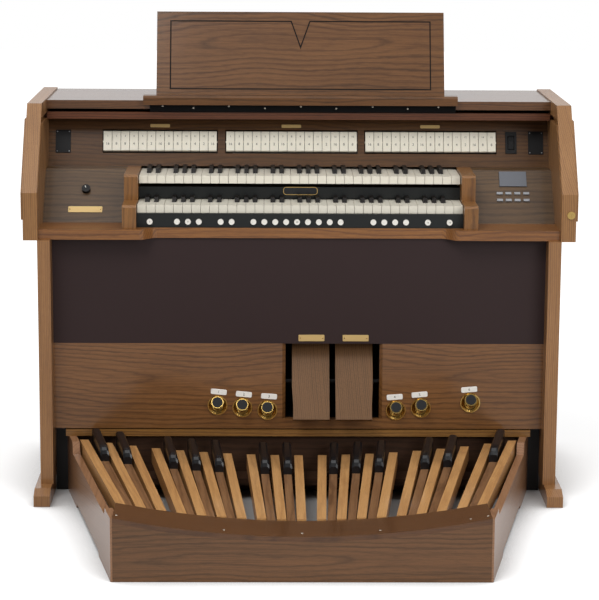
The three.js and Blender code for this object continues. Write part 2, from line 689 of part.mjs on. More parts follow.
// Key table with its recessed, curved middle edge
const recessEdge = CURVE_SHARES.map(([along, rise]) => [
  RECESS_HALF_WIDTH + RECESS_CURVE_WIDTH - along * RECESS_CURVE_WIDTH,
  TABLE_FRONT + rise * TABLE_RECESS,
]);
const tableOutline = [
  [-CASE_INNER, TABLE_BACK],
  [-CASE_INNER, TABLE_FRONT],
  ...mirrored(recessEdge),
  ...recessEdge.toReversed(),
  [CASE_INNER, TABLE_FRONT],
  [CASE_INNER, TABLE_BACK],
];
add("key_table", fromAbove(tableOutline, TABLE_BOTTOM, TABLE_TOP), WALNUT);

// Front panels below the table
const kickBack = PANEL_FRONT + PANEL_THICKNESS;
const bevelCorner = (x, inward) => [
  [x - inward, PANEL_FRONT - SHOE_OPENING_BEVEL],
  [x - inward, PANEL_FRONT],
  [x, PANEL_FRONT + SHOE_OPENING_BEVEL],
  [x + inward, PANEL_FRONT + SHOE_OPENING_BEVEL],
  [x + inward, PANEL_FRONT - SHOE_OPENING_BEVEL],
];
const studAcross = (reach) => [
  PANEL_FRONT - reach * Math.cos(STUD_TILT),
  reach * Math.sin(STUD_TILT),
];

function studRod([x, z], outward, inward, radius, sides) {
  const [outY, outZ] = studAcross(outward);
  const [inY, inZ] = studAcross(-inward);
  return rod([x, outY, z + outZ], [x, inY, z + inZ], radius, sides);
}

const onKickPanel = ([x, rise]) => [x, KICK_BOTTOM + rise];
const LEFT_STUDS = LEFT_STUD_PLACES.map(onKickPanel);
const RIGHT_STUDS = RIGHT_STUD_PLACES.map(onKickPanel);
const studHoles = [...LEFT_STUDS, ...RIGHT_STUDS].map((stud) =>
  studRod(stud, STUD_DEPTH, STUD_DEPTH, COLLAR_SLEEVE_RADIUS + SEAT_GAP),
);
add(
  "kick_panel",
  cut(block(-SIDE_INNER, SIDE_INNER, PANEL_FRONT, kickBack, KICK_BOTTOM, KICK_TOP), [
    block(
      SHOE_OPENING_LEFT,
      SHOE_OPENING_RIGHT,
      PANEL_FRONT - PANEL_THICKNESS,
      kickBack + PANEL_THICKNESS,
      SHOE_OPENING_BOTTOM,
      KICK_TOP + PANEL_THICKNESS,
    ),
    fromAbove(
      bevelCorner(SHOE_OPENING_LEFT, SHOE_OPENING_BEVEL),
      SHOE_OPENING_BOTTOM,
      KICK_TOP + PANEL_THICKNESS,
    ),
    fromAbove(
      bevelCorner(SHOE_OPENING_RIGHT, -SHOE_OPENING_BEVEL),
      SHOE_OPENING_BOTTOM,
      KICK_TOP + PANEL_THICKNESS,
    ),
    ...studHoles,
  ]),
  WALNUT,
);
add(
  "knee_panel",
  block(-SIDE_INNER, SIDE_INNER, PANEL_FRONT, kickBack, KICK_TOP, TABLE_BOTTOM),
  AUBERGINE,
);
add(
  "base_panel",
  joined([
    block(
      -SIDE_INNER,
      SIDE_INNER,
      BASE_FRONT,
      BASE_FRONT + PANEL_THICKNESS,
      0,
      KICK_BOTTOM + BASE_RAIL_HEIGHT,
    ),
    block(
      -SIDE_INNER,
      SIDE_INNER,
      kickBack,
      BASE_FRONT + PANEL_THICKNESS,
      KICK_BOTTOM,
      KICK_BOTTOM + BASE_RAIL_HEIGHT,
    ),
  ]),
  BLACK,
);

// Top board, with the black strip along its front edge
const BACK_FRONT = CASE_BACK - PANEL_THICKNESS;
add(
  "top_board",
  block(-CASE_INNER, CASE_INNER, TOP_FRONT, CASE_BACK, TOP_BOTTOM, TOP_LEVEL),
  WALNUT,
);
add(
  "ledge_strip",
  block(STRIP_LEFT, STRIP_RIGHT, TOP_FRONT - STRIP_THICKNESS, TOP_FRONT, STRIP_BOTTOM, STRIP_TOP),
  BLACK,
);

// Back panel with two speakers and the mains socket
const inletHalf = INLET_WIDTH * HALF_SHARE;
const inletRise = INLET_RISE * HALF_SHARE;

function speakerHole(x) {
  return rod(
    [x, BACK_FRONT - PANEL_THICKNESS, SPEAKER_HEIGHT],
    [x, CASE_BACK + PANEL_THICKNESS, SPEAKER_HEIGHT],
    SPEAKER_RADIUS,
  );
}

add(
  "back_panel",
  cut(
    joined([
      block(-SIDE_INNER, SIDE_INNER, BACK_FRONT, CASE_BACK, BACK_BOTTOM, TABLE_BOTTOM),
      block(-CASE_INNER, CASE_INNER, BACK_FRONT, CASE_BACK, TABLE_BOTTOM, TOP_BOTTOM),
    ]),
    [
      speakerHole(-SPEAKER_X),
      speakerHole(SPEAKER_X),
      block(
        INLET_X - inletHalf - INLET_CLEARANCE,
        INLET_X + inletHalf + INLET_CLEARANCE,
        BACK_FRONT - PANEL_THICKNESS,
        CASE_BACK + PANEL_THICKNESS,
        INLET_HEIGHT - inletRise - INLET_CLEARANCE,
        INLET_HEIGHT + inletRise + INLET_CLEARANCE,
      ),
    ],
  ),
  BLACK,
);

function speaker(x) {
  const at = (y) => [x, y, SPEAKER_HEIGHT];
  const rimFront = BACK_FRONT - SPEAKER_RIM_DEPTH;
  const neck = rimFront - SPEAKER_CONE_DEPTH;
  const magnetBack = neck - SPEAKER_MAGNET_DEPTH;
  const shell = joined([
    rod(at(rimFront), at(BACK_FRONT), SPEAKER_RADIUS + SPEAKER_RIM),
    taper(at(neck), at(rimFront), SPEAKER_NECK_RADIUS + SPEAKER_RIM_DEPTH, SPEAKER_RADIUS + SPEAKER_RIM_DEPTH, ROUND_SIDES),
    rod(at(magnetBack), at(neck), SPEAKER_MAGNET_RADIUS),
  ]);
  return cut(shell, [
    taper(at(neck), at(BACK_FRONT), SPEAKER_NECK_RADIUS, SPEAKER_RADIUS, ROUND_SIDES),
  ]);
}

add("left_speaker", speaker(-SPEAKER_X), BLACK);
add("right_speaker", speaker(SPEAKER_X), BLACK);

const inletPocket = block(
  INLET_X - inletHalf + INLET_WALL,
  INLET_X + inletHalf - INLET_WALL,
  CASE_BACK - INLET_POCKET_DEPTH,
  CASE_BACK + INLET_POCKET_DEPTH,
  INLET_HEIGHT - inletRise + INLET_WALL,
  INLET_HEIGHT + inletRise - INLET_WALL,
);
const inletPins = [-INLET_WALL - INLET_PIN, 0, INLET_WALL + INLET_PIN].map((offset) =>
  block(
    INLET_X + offset - INLET_PIN * HALF_SHARE,
    INLET_X + offset + INLET_PIN * HALF_SHARE,
    CASE_BACK - INLET_POCKET_DEPTH - INLET_PIN,
    CASE_BACK - INLET_PIN,
    INLET_HEIGHT - INLET_PIN,
    INLET_HEIGHT + INLET_PIN,
  ),
);
add(
  "mains_inlet",
  joined([
    cut(
      joined([
        block(
          INLET_X - inletHalf,
          INLET_X + inletHalf,
          CASE_BACK - INLET_DEPTH,
          CASE_BACK,
          INLET_HEIGHT - inletRise,
          INLET_HEIGHT + inletRise,
        ),
        block(
          INLET_X - inletHalf - INLET_WALL,
          INLET_X + inletHalf + INLET_WALL,
          CASE_BACK - INLET_DEPTH,
          BACK_FRONT,
          INLET_HEIGHT - inletRise - INLET_WALL,
          INLET_HEIGHT + inletRise + INLET_WALL,
        ),
      ]),
      [inletPocket],
    ),
    ...inletPins,
  ]),
  BLACK,
);
add(
  "sound_module",
  block(
    -MODULE_HALF_WIDTH,
    MODULE_HALF_WIDTH,
    BACK_FRONT - MODULE_DEPTH,
    BACK_FRONT,
    MODULE_BOTTOM,
    MODULE_BOTTOM + MODULE_HEIGHT,
  ),
  STEEL,
);

// Stepped end blocks beside the keys
const blockOutline = [
  [LOWER_BLOCK_FRONT, TABLE_TOP],
  [LOWER_BLOCK_FRONT, LOWER_BLOCK_TOP - BLOCK_FRONT_RADIUS],
  [LOWER_BLOCK_FRONT + BLOCK_FRONT_RADIUS, LOWER_BLOCK_TOP],
  [UPPER_BLOCK_FRONT, LOWER_BLOCK_TOP],
  [UPPER_BLOCK_FRONT, SHELF_LEVEL - BLOCK_FRONT_RADIUS],
  [UPPER_BLOCK_FRONT + BLOCK_FRONT_RADIUS, SHELF_LEVEL],
  [STOP_BACK, SHELF_LEVEL],
  [STOP_BACK, TABLE_TOP],
];
add("left_key_block", fromSide(blockOutline, BLOCK_OUTER_LEFT, BLOCK_INNER_LEFT), WALNUT);
add("right_key_block", fromSide(blockOutline, BLOCK_INNER_RIGHT, BLOCK_OUTER_RIGHT), WALNUT);

// Sloping control panels with their level shelves
const controlRise = SHELF_LEVEL - TABLE_TOP;
const controlRun = controlRise / Math.tan(CONTROL_ANGLE);
const controlInset = CONTROL_THICKNESS / Math.sin(CONTROL_ANGLE);
const shelfUnder = SHELF_LEVEL - CONTROL_THICKNESS;
const controlOutline = [
  [CONTROL_FRONT, TABLE_TOP],
  [CONTROL_FRONT + controlRun, SHELF_LEVEL],
  [STOP_BACK, SHELF_LEVEL],
  [STOP_BACK, shelfUnder],
  [CONTROL_FRONT + controlInset + (shelfUnder - TABLE_TOP) / Math.tan(CONTROL_ANGLE), shelfUnder],
  [CONTROL_FRONT + controlInset, TABLE_TOP],
];
const controlSlope = slope(CONTROL_FRONT, TABLE_TOP, CONTROL_ANGLE);
const buttonHalf = BUTTON_WIDTH * HALF_SHARE;
const buttonRise = BUTTON_HEIGHT * HALF_SHARE;
const buttonPlaces = BUTTON_COLUMNS.flatMap((x) => BUTTON_ROWS.map((up) => [x, up]));

function buttonBlock([x, up], clearance, low, high) {
  return block(
    x - buttonHalf - clearance,
    x + buttonHalf + clearance,
    up - buttonRise - clearance,
    up + buttonRise + clearance,
    low,
    high,
  );
}

function displayBlock(clearance, low, high) {
  return block(
    DISPLAY_X - DISPLAY_WIDTH * HALF_SHARE - clearance,
    DISPLAY_X + DISPLAY_WIDTH * HALF_SHARE + clearance,
    DISPLAY_UP - DISPLAY_HEIGHT * HALF_SHARE - clearance,
    DISPLAY_UP + DISPLAY_HEIGHT * HALF_SHARE + clearance,
    low,
    high,
  );
}

const controlThrough = CONTROL_THICKNESS + CONTROL_THICKNESS;
add(
  "left_control_panel",
  cut(fromSide(controlOutline, -CASE_INNER, BLOCK_OUTER_LEFT), [
    placed(
      rod(
        [SWITCH_X, SWITCH_UP, -controlThrough],
        [SWITCH_X, SWITCH_UP, controlThrough],
        SHAFT_RADIUS + SHAFT_CLEARANCE,
        SMALL_SIDES,
      ),
      controlSlope,
    ),
  ]),
  WALNUT,
);
add(
  "right_control_panel",
  cut(fromSide(controlOutline, BLOCK_OUTER_RIGHT, CASE_INNER), [
    placed(
      joined([
        displayBlock(SEAT_GAP, -DISPLAY_DEPTH, controlThrough),
        ...buttonPlaces.map((place) =>
          buttonBlock(place, BUTTON_CLEARANCE, -controlThrough, controlThrough),
        ),
      ]),
      controlSlope,
    ),
  ]),
  WALNUT,
);
add(
  "display_screen",
  placed(displayBlock(0, SEAT_GAP - DISPLAY_DEPTH, DISPLAY_PROUD), controlSlope),
  GREY,
);

const buttonBarTop = -CONTROL_THICKNESS - BUTTON_BAR_GAP;
const buttonBarLow = buttonBarTop - BUTTON_BAR_THICKNESS;
add(
  "menu_buttons",
  placed(
    joined([
      ...buttonPlaces.map((place) => buttonBlock(place, 0, buttonBarLow, BUTTON_PROUD)),
      block(
        Math.min(...BUTTON_COLUMNS) - BUTTON_BAR_MARGIN,
        Math.max(...BUTTON_COLUMNS) + BUTTON_BAR_MARGIN,
        Math.min(...BUTTON_ROWS) - BUTTON_BAR_MARGIN,
        Math.max(...BUTTON_ROWS) + BUTTON_BAR_MARGIN,
        buttonBarLow,
        buttonBarTop,
      ),
    ]),
    controlSlope,
  ),
  GREY,
);
add(
  "power_switch",
  placed(
    joined([
      rod([SWITCH_X, SWITCH_UP, SEAT_GAP], [SWITCH_X, SWITCH_UP, SWITCH_PROUD], SWITCH_RADIUS),
      rod(
        [SWITCH_X, SWITCH_UP, -SHAFT_DEPTH],
        [SWITCH_X, SWITCH_UP, SWITCH_PROUD],
        SHAFT_RADIUS,
        SMALL_SIDES,
      ),
    ]),
    controlSlope,
  ),
  BLACK,
);

// Stop panel: a leaning board with a window for each row of tabs
const stopSlope = slope(STOP_FRONT, SHELF_LEVEL, STOP_ANGLE);
const stopRun = (STOP_TOP - SHELF_LEVEL) / Math.tan(STOP_ANGLE);
const stopThrough = STOP_THICKNESS + STOP_THICKNESS;
const stopOutline = [
  [STOP_FRONT, SHELF_LEVEL],
  [STOP_FRONT + stopRun, STOP_TOP],
  [STOP_BACK + stopRun, STOP_TOP],
  [STOP_BACK, SHELF_LEVEL],
];
const tabRows = [
  ["left_stop_tabs", LEFT_TABS_START, LEFT_TAB_COUNT],
  ["middle_stop_tabs", MIDDLE_TABS_START, MIDDLE_TAB_COUNT],
  ["right_stop_tabs", RIGHT_TABS_START, RIGHT_TAB_COUNT],
];
const tabHalf = TAB_LENGTH * HALF_SHARE;
const tabOutline = [
  [TAB_UP - tabHalf, -TAB_DEPTH],
  [TAB_UP - tabHalf, TAB_PROUD - TAB_EDGE],
  [TAB_UP - tabHalf + TAB_EDGE, TAB_PROUD],
  [TAB_UP + tabHalf - TAB_EDGE, TAB_PROUD],
  [TAB_UP + tabHalf, TAB_PROUD - TAB_EDGE],
  [TAB_UP + tabHalf, -TAB_DEPTH],
];

function tabRod(left, count, radius, reach) {
  return rod(
    [left - reach, TAB_UP, -TAB_PIVOT_DEPTH],
    [left + TAB_PITCH * count + reach, TAB_UP, -TAB_PIVOT_DEPTH],
    radius,
    SMALL_SIDES,
  );
}

function tabWindow(left, count) {
  return joined([
    block(
      left - TAB_WINDOW_MARGIN,
      left + TAB_PITCH * count + TAB_WINDOW_MARGIN,
      TAB_UP - tabHalf - TAB_WINDOW_ROOM,
      TAB_UP + tabHalf + TAB_WINDOW_ROOM,
      -stopThrough,
      stopThrough,
    ),
    tabRod(left, count, TAB_ROD_RADIUS + TAB_ROD_CLEARANCE, TAB_ROD_REACH + TAB_ROD_CLEARANCE),
  ]);
}

function rockerBlock(clearance) {
  return block(
    ROCKER_X - ROCKER_WIDTH * HALF_SHARE - clearance,
    ROCKER_X + ROCKER_WIDTH * HALF_SHARE + clearance,
    ROCKER_UP - ROCKER_LENGTH * HALF_SHARE - clearance,
    ROCKER_UP + ROCKER_LENGTH * HALF_SHARE + clearance,
    -stopThrough,
    stopThrough,
  );
}

add(
  "stop_panel",
  cut(fromSide(stopOutline, -CASE_INNER, CASE_INNER), [
    ...tabRows.map(([, left, count]) => placed(tabWindow(left, count), stopSlope)),
    placed(rockerBlock(ROCKER_CLEARANCE), stopSlope),
  ]),
  WALNUT,
);

tabRows.forEach(([name, left, count]) => {
  const side = (TAB_PITCH - TAB_WIDTH) * HALF_SHARE;
  const tabs = Array.from({ length: count }, (_, index) => {
    const start = left + TAB_PITCH * index + side;
    return fromSide(tabOutline, start, start + TAB_WIDTH);
  });
  const row = joined([...tabs, tabRod(left, count, TAB_ROD_RADIUS, TAB_ROD_REACH)]);
  add(name, placed(row, stopSlope), IVORY);
});

// Switch plate with one rocking lever
add(
  "switch_plate",
  placed(
    cut(
      block(
        ROCKER_X - SWITCH_PLATE_WIDTH * HALF_SHARE,
        ROCKER_X + SWITCH_PLATE_WIDTH * HALF_SHARE,
        ROCKER_UP - SWITCH_PLATE_LENGTH * HALF_SHARE,
        ROCKER_UP + SWITCH_PLATE_LENGTH * HALF_SHARE,
        SEAT_GAP,
        SWITCH_PLATE_THICKNESS,
      ),
      [rockerBlock(ROCKER_CLEARANCE)],
    ),
    stopSlope,
  ),
  BLACK,
);
const rockerEnd = ROCKER_LENGTH * HALF_SHARE;
const rockerOutline = [
  [ROCKER_UP - rockerEnd, -ROCKER_PROUD],
  [ROCKER_UP - rockerEnd, SWITCH_PLATE_THICKNESS],
  [ROCKER_UP, ROCKER_PROUD],
  [ROCKER_UP + rockerEnd, SWITCH_PLATE_THICKNESS],
  [ROCKER_UP + rockerEnd, -ROCKER_PROUD],
];
add(
  "rocker_switch",
  placed(
    joined([
      fromSide(
        rockerOutline,
        ROCKER_X - ROCKER_WIDTH * HALF_SHARE,
        ROCKER_X + ROCKER_WIDTH * HALF_SHARE,
      ),
      rod(
        [ROCKER_X - ROCKER_WIDTH * HALF_SHARE - ROCKER_CLEARANCE + TAB_ROD_CLEARANCE, ROCKER_UP, -TAB_ROD_RADIUS],
        [ROCKER_X + ROCKER_WIDTH * HALF_SHARE + ROCKER_CLEARANCE - TAB_ROD_CLEARANCE, ROCKER_UP, -TAB_ROD_RADIUS],
        TAB_ROD_RADIUS,
        SMALL_SIDES,
      ),
    ]),
    stopSlope,
  ),
  BLACK,
);

// Key slips in front of each manual, the lower one bored for the pistons
const pistonPlaces = PISTON_STEP_SHARES.map((share) => PISTON_ORIGIN + PISTON_STEP * share);
const slipBack = LOWER_SLIP_FRONT + SLIP_THICKNESS;
add(
  "lower_key_slip",
  cut(
    block(
      BLOCK_INNER_LEFT,
      BLOCK_INNER_RIGHT,
      LOWER_SLIP_FRONT,
      slipBack,
      TABLE_TOP,
      LOWER_SLIP_TOP,
    ),
    pistonPlaces.map((x) =>
      rod(
        [x, LOWER_SLIP_FRONT - SLIP_THICKNESS, PISTON_HEIGHT],
        [x, slipBack + SLIP_THICKNESS, PISTON_HEIGHT],
        PISTON_RADIUS + PISTON_CLEARANCE,
        SMALL_SIDES,
      ),
    ),
  ),
  BLACK,
);
add(
  "upper_key_slip",
  block(
    BLOCK_INNER_LEFT,
    BLOCK_INNER_RIGHT,
    UPPER_SLIP_FRONT,
    UPPER_SLIP_FRONT + SLIP_THICKNESS,
    UPPER_SLIP_BOTTOM,
    UPPER_SLIP_TOP,
  ),
  BLACK,
);
const pistonBarFront = slipBack + PISTON_BAR_GAP;
const pistonBarBack = pistonBarFront + PISTON_BAR_THICKNESS;
add(
  "thumb_pistons",
  joined([
    ...pistonPlaces.map((x) =>
      rod(
        [x, LOWER_SLIP_FRONT - PISTON_PROUD, PISTON_HEIGHT],
        [x, pistonBarBack, PISTON_HEIGHT],
        PISTON_RADIUS,
        SMALL_SIDES,
      ),
    ),
    block(
      Math.min(...pistonPlaces) - PISTON_RADIUS,
      Math.max(...pistonPlaces) + PISTON_RADIUS,
      pistonBarFront,
      pistonBarBack,
      PISTON_HEIGHT - PISTON_BAR_HEIGHT * HALF_SHARE,
      PISTON_HEIGHT + PISTON_BAR_HEIGHT * HALF_SHARE,
    ),
  ]),
  IVORY,
);

// One manual: naturals on one rail, sharps on another, and the frame they pivot on
function naturalKey(index, front) {
  const left = KEYS_LEFT + KEY_PITCH * index;
  const right = left + KEY_PITCH;
  const head = front + KEY_HEAD;
  const back = front + KEY_REACH + KEY_TAIL;
  const edge = KEY_GAP * HALF_SHARE;
  const notch = SHARP_WIDTH * HALF_SHARE + SHARP_CLEARANCE;
  const rightNotch = sharpFollows(index) ? [[right - edge, head], [right - notch, head]] : [];
  const leftNotch = sharpFollows(index - 1) ? [[left + notch, head], [left + edge, head]] : [];
  const outline = [
    [left + edge, front],
    [right - edge, front],
    ...rightNotch,
    [sharpFollows(index) ? right - notch : right - edge, back],
    [sharpFollows(index - 1) ? left + notch : left + edge, back],
    ...leftNotch,
  ];
  return outline;
}

function sharpFollows(index) {
  const inside = index >= 0 && index < NATURAL_COUNT - 1;
  return inside && SHARPS_AFTER_SHARES.includes(index % OCTAVE_NATURALS);
}

function addManual(name, front, top, sharpLength, bedLevel, frameFront, bedMargin) {
  const bottom = top - KEY_HEIGHT;
  const pivot = front + KEY_REACH;
  const indices = Array.from({ length: NATURAL_COUNT }, (_, index) => index);
  const railTop = top - KEY_GAP * HALF_SHARE;
  const naturals = indices.map((index) => fromAbove(naturalKey(index, front), bottom, top));
  const naturalRail = block(
    KEYS_LEFT + KEY_GAP * HALF_SHARE,
    KEYS_LEFT + KEY_SPAN - KEY_GAP * HALF_SHARE,
    pivot - KEY_RAIL_DEPTH,
    pivot,
    railTop - KEY_RAIL_HEIGHT,
    railTop,
  );
  add(name + "_naturals", joined([...naturals, naturalRail]), IVORY);

  const sharpRail = pivot + KEY_TAIL + KEY_RAIL_GAP;
  const sharpFront = front + KEY_HEAD + SHARP_CLEARANCE;
  const sharpOutline = [
    [sharpFront, bottom],
    [sharpFront, top],
    [sharpFront + SHARP_NOSE, top + SHARP_RISE],
    [sharpFront + sharpLength, top + SHARP_RISE],
    [sharpFront + sharpLength, bottom + SHARP_STICK_HEIGHT],
    [sharpRail + SHARP_RAIL_DEPTH, bottom + SHARP_STICK_HEIGHT],
    [sharpRail + SHARP_RAIL_DEPTH, bottom],
  ];
  const sharpEdges = indices
    .filter(sharpFollows)
    .map((index) => KEYS_LEFT + KEY_PITCH + KEY_PITCH * index);
  const sharpHalf = SHARP_WIDTH * HALF_SHARE;
  const sharps = sharpEdges.map((x) => fromSide(sharpOutline, x - sharpHalf, x + sharpHalf));
  const sharpRailBlock = block(
    Math.min(...sharpEdges) - sharpHalf,
    Math.max(...sharpEdges) + sharpHalf,
    sharpRail,
    sharpRail + SHARP_RAIL_DEPTH,
    bottom,
    bottom + SHARP_STICK_HEIGHT,
  );
  add(name + "_sharps", joined([...sharps, sharpRailBlock]), EBONY);

  const plate = block(
    BLOCK_INNER_LEFT,
    BLOCK_INNER_RIGHT,
    frameFront,
    sharpRail + SHARP_RAIL_DEPTH,
    bedLevel,
    bedLevel + FRAME_PLATE,
  );
  const pivotRail = block(
    BLOCK_INNER_LEFT + bedMargin,
    BLOCK_INNER_RIGHT - bedMargin,
    pivot - KEY_TAIL,
    sharpRail + SHARP_RAIL_DEPTH,
    bedLevel,
    bottom - FRAME_GAP,
  );
  add(name + "_key_frame", joined([plate, pivotRail]), OAK);
}

addManual(
  "lower",
  LOWER_KEY_FRONT,
  LOWER_KEY_TOP,
  LOWER_SHARP_LENGTH,
  TABLE_TOP,
  LOWER_KEY_FRONT + KEY_BED_CLEARANCE,
  0,
);
addManual(
  "upper",
  UPPER_KEY_FRONT,
  UPPER_KEY_TOP,
  UPPER_SHARP_LENGTH,
  UPPER_SLIP_BOTTOM + KEY_RAIL_DEPTH,
  UPPER_SLIP_FRONT + SLIP_THICKNESS,
  0,
);

// Box behind the kick panel, open to the front, that holds the two swell shoes
const shoeBoxInside = block(
  SHOE_OPENING_LEFT,
  SHOE_OPENING_RIGHT,
  kickBack - SHOE_BOX_WALL,
  SHOE_BOX_BACK - SHOE_BOX_WALL,
  SHOE_OPENING_BOTTOM,
  SHOE_BOX_TOP - SHOE_BOX_WALL,
);
add(
  "shoe_box",
  cut(
    block(
      SHOE_OPENING_LEFT - SHOE_BOX_WALL,
      SHOE_OPENING_RIGHT + SHOE_BOX_WALL,
      kickBack,
      SHOE_BOX_BACK,
      SHOE_OPENING_BOTTOM - SHOE_BOX_WALL,
      SHOE_BOX_TOP,
    ),
    [shoeBoxInside],
  ),
  BLACK,
);
const shoeSlope = slope(SHOE_FRONT, SHOE_BOTTOM, SHOE_LEAN);
const axleEnds = (radius) =>
  placed(
    rod(
      [SHOE_OPENING_LEFT, SHOE_AXLE_UP, -SHOE_AXLE_BEHIND],
      [SHOE_OPENING_RIGHT, SHOE_AXLE_UP, -SHOE_AXLE_BEHIND],
      radius,
      SMALL_SIDES,
    ),
    shoeSlope,
  );
add("shoe_axle", axleEnds(SHOE_AXLE_RADIUS), STEEL);

function shoe(left, taperSide) {
  const right = left + SHOE_WIDTH;
  const outline = [
    [left + Math.max(0, -taperSide) * SHOE_TAPER, 0],
    [right - Math.max(0, taperSide) * SHOE_TAPER, 0],
    [right - Math.max(0, taperSide) * SHOE_TAPER, SHOE_TAPER_START],
    [right, SHOE_TAPER_START + SHOE_TAPER_LENGTH],
    [right, SHOE_LENGTH],
    [left, SHOE_LENGTH],
    [left, SHOE_TAPER_START + SHOE_TAPER_LENGTH],
    [left + Math.max(0, -taperSide) * SHOE_TAPER, SHOE_TAPER_START],
  ];
  const tread = fromAbove(outline, -SHOE_THICKNESS, 0);
  const hub = joined([
    rod(
      [left + SHOE_HUB_INSET, SHOE_AXLE_UP, -SHOE_AXLE_BEHIND],
      [right - SHOE_HUB_INSET, SHOE_AXLE_UP, -SHOE_AXLE_BEHIND],
      SHOE_HUB_RADIUS,
      SMALL_SIDES,
    ),
    block(
      left + SHOE_HUB_INSET,
      right - SHOE_HUB_INSET,
      SHOE_AXLE_UP - SHOE_HUB_RADIUS,
      SHOE_AXLE_UP + SHOE_HUB_RADIUS,
      -SHOE_AXLE_BEHIND,
      -SHOE_THICKNESS,
    ),
  ]);
  return cut(placed(joined([tread, hub]), shoeSlope), [
    axleEnds(SHOE_AXLE_RADIUS + SHAFT_CLEARANCE),
  ]);
}

add("left_shoe", shoe(LEFT_SHOE_X, -1), WALNUT);
add("right_shoe", shoe(RIGHT_SHOE_X, 1), WALNUT);

// Toe studs: each side's plungers share a rail behind the panel, as do their collars
function plungers(studs) {
  const reach = STUD_REACH;
  const bodies = studs.flatMap((stud) => [
    studRod(stud, reach, PANEL_THICKNESS, STUD_RADIUS, ROUND_SIDES),
    studRod(stud, reach + STUD_PAD_HEIGHT, 0, STUD_PAD_RADIUS, ROUND_SIDES),
    studRod(stud, 0, STUD_DEPTH, STUD_STEM_RADIUS, SMALL_SIDES),
  ]);
  const [railY, railZ] = studAcross(-STUD_DEPTH + STUD_RAIL_RADIUS);
  const rails = studs.slice(1).map((stud, index) => {
    const [x0, z0] = studs[index];
    const [x1, z1] = stud;
    return rod([x0, railY, z0 + railZ], [x1, railY, z1 + railZ], STUD_RAIL_RADIUS, SMALL_SIDES);
  });
  return joined([...bodies, ...rails]);
}

function collars(studs) {
  const plateBack = kickBack + COLLAR_PLATE_THICKNESS;
  const across = studs.map(([x]) => x);
  const heights = studs.map(([, z]) => z);
  const rings = studs.map(([x, z]) =>
    rod([x, PANEL_FRONT - COLLAR_HEIGHT, z], [x, PANEL_FRONT, z], COLLAR_RADIUS),
  );
  const sleeves = studs.map((stud) =>
    studRod(stud, STUD_DEPTH, STUD_DEPTH, COLLAR_SLEEVE_RADIUS),
  );
  const sleeveRoom = block(
    Math.min(...across) - COLLAR_CUT_MARGIN,
    Math.max(...across) + COLLAR_CUT_MARGIN,
    PANEL_FRONT - COLLAR_HEIGHT,
    plateBack,
    SHOE_OPENING_BOTTOM - COLLAR_RADIUS,
    KICK_TOP,
  );
  const plate = block(
    Math.min(...across) - COLLAR_PLATE_MARGIN,
    Math.max(...across) + COLLAR_PLATE_MARGIN,
    kickBack,
    plateBack,
    Math.min(...heights) - COLLAR_PLATE_MARGIN,
    Math.max(...heights) + COLLAR_PLATE_MARGIN * HALF_SHARE,
  );
  const dishes = studs.map(([x, z]) =>
    taper(
      [x, PANEL_FRONT, z],
      [x, PANEL_FRONT - COLLAR_HEIGHT, z],
      STUD_RADIUS + STUD_CLEARANCE,
      COLLAR_DISH_RADIUS,
      ROUND_SIDES,
    ),
  );
  const bores = studs.map((stud) =>
    studRod(stud, STUD_DEPTH, STUD_DEPTH, STUD_RADIUS + STUD_CLEARANCE),
  );
  const shells = [...rings, joined(sleeves).intersect(sleeveRoom), plate];
  return cut(joined(shells), [...dishes, ...bores]);
}

add("left_toe_studs", plungers(LEFT_STUDS), BRASS);
add("right_toe_studs", plungers(RIGHT_STUDS), BRASS);
add("left_stud_collars", collars(LEFT_STUDS), BRASS);
add("right_stud_collars", collars(RIGHT_STUDS), BRASS);

// Roll lid, parked: a pull bar with a slatted sheet behind it, ends in the grooves
const lidBottom = grooveLow + SEAT_GAP;
const lidTop = lidBottom + LID_THICKNESS;
const lidReach = CASE_INNER + GROOVE_DEPTH - LID_END_CLEARANCE;
const lidBarBack = TOP_FRONT + LID_BAR_DEPTH;
const slatCount = Math.floor((LID_BACK - lidBarBack) / SLAT_PITCH);
const slatGrooves = Array.from({ length: slatCount }, (_, index) => {
  const y = lidBarBack + SLAT_PITCH + SLAT_PITCH * index - SLAT_GROOVE;
  return block(-lidReach - LID_THICKNESS, lidReach + LID_THICKNESS, y, y + SLAT_GROOVE, lidTop - SLAT_GROOVE, lidTop + SLAT_GROOVE);
});
add(
  "roll_lid",
  cut(
    joined([
      block(
        -CASE_INNER + LID_BAR_CLEARANCE,
        CASE_INNER - LID_BAR_CLEARANCE,
        TOP_FRONT,
        lidBarBack,
        GROOVE_LEVEL - LID_BAR_HEIGHT * HALF_SHARE,
        GROOVE_LEVEL + LID_BAR_HEIGHT * HALF_SHARE,
      ),
      block(-lidReach, lidReach, lidBarBack, LID_BACK, lidBottom, lidTop),
    ]),
    slatGrooves,
  ),
  WALNUT,
);

// Lock of the lid in the right cheek
const lockAt = (y) => [lockX, y, LOCK_HEIGHT];
add(
  "lid_lock",
  cut(
    joined([
      rod(lockAt(SIDE_FRONT - LOCK_PROUD), lockAt(SIDE_FRONT), LOCK_RADIUS),
      rod(
        lockAt(SIDE_FRONT - LOCK_PROUD),
        lockAt(SIDE_FRONT + LOCK_BARREL_DEPTH),
        LOCK_BARREL_RADIUS,
      ),
    ]),
    [
      block(
        lockX - LOCK_SLOT_WIDTH * HALF_SHARE,
        lockX + LOCK_SLOT_WIDTH * HALF_SHARE,
        SIDE_FRONT - LOCK_PROUD - LOCK_SLOT_DEPTH,
        SIDE_FRONT - LOCK_PROUD + LOCK_SLOT_DEPTH,
        LOCK_HEIGHT - LOCK_SLOT_LENGTH * HALF_SHARE,
        LOCK_HEIGHT + LOCK_SLOT_LENGTH * HALF_SHARE,
      ),
    ],
  ),
  BRASS,
);

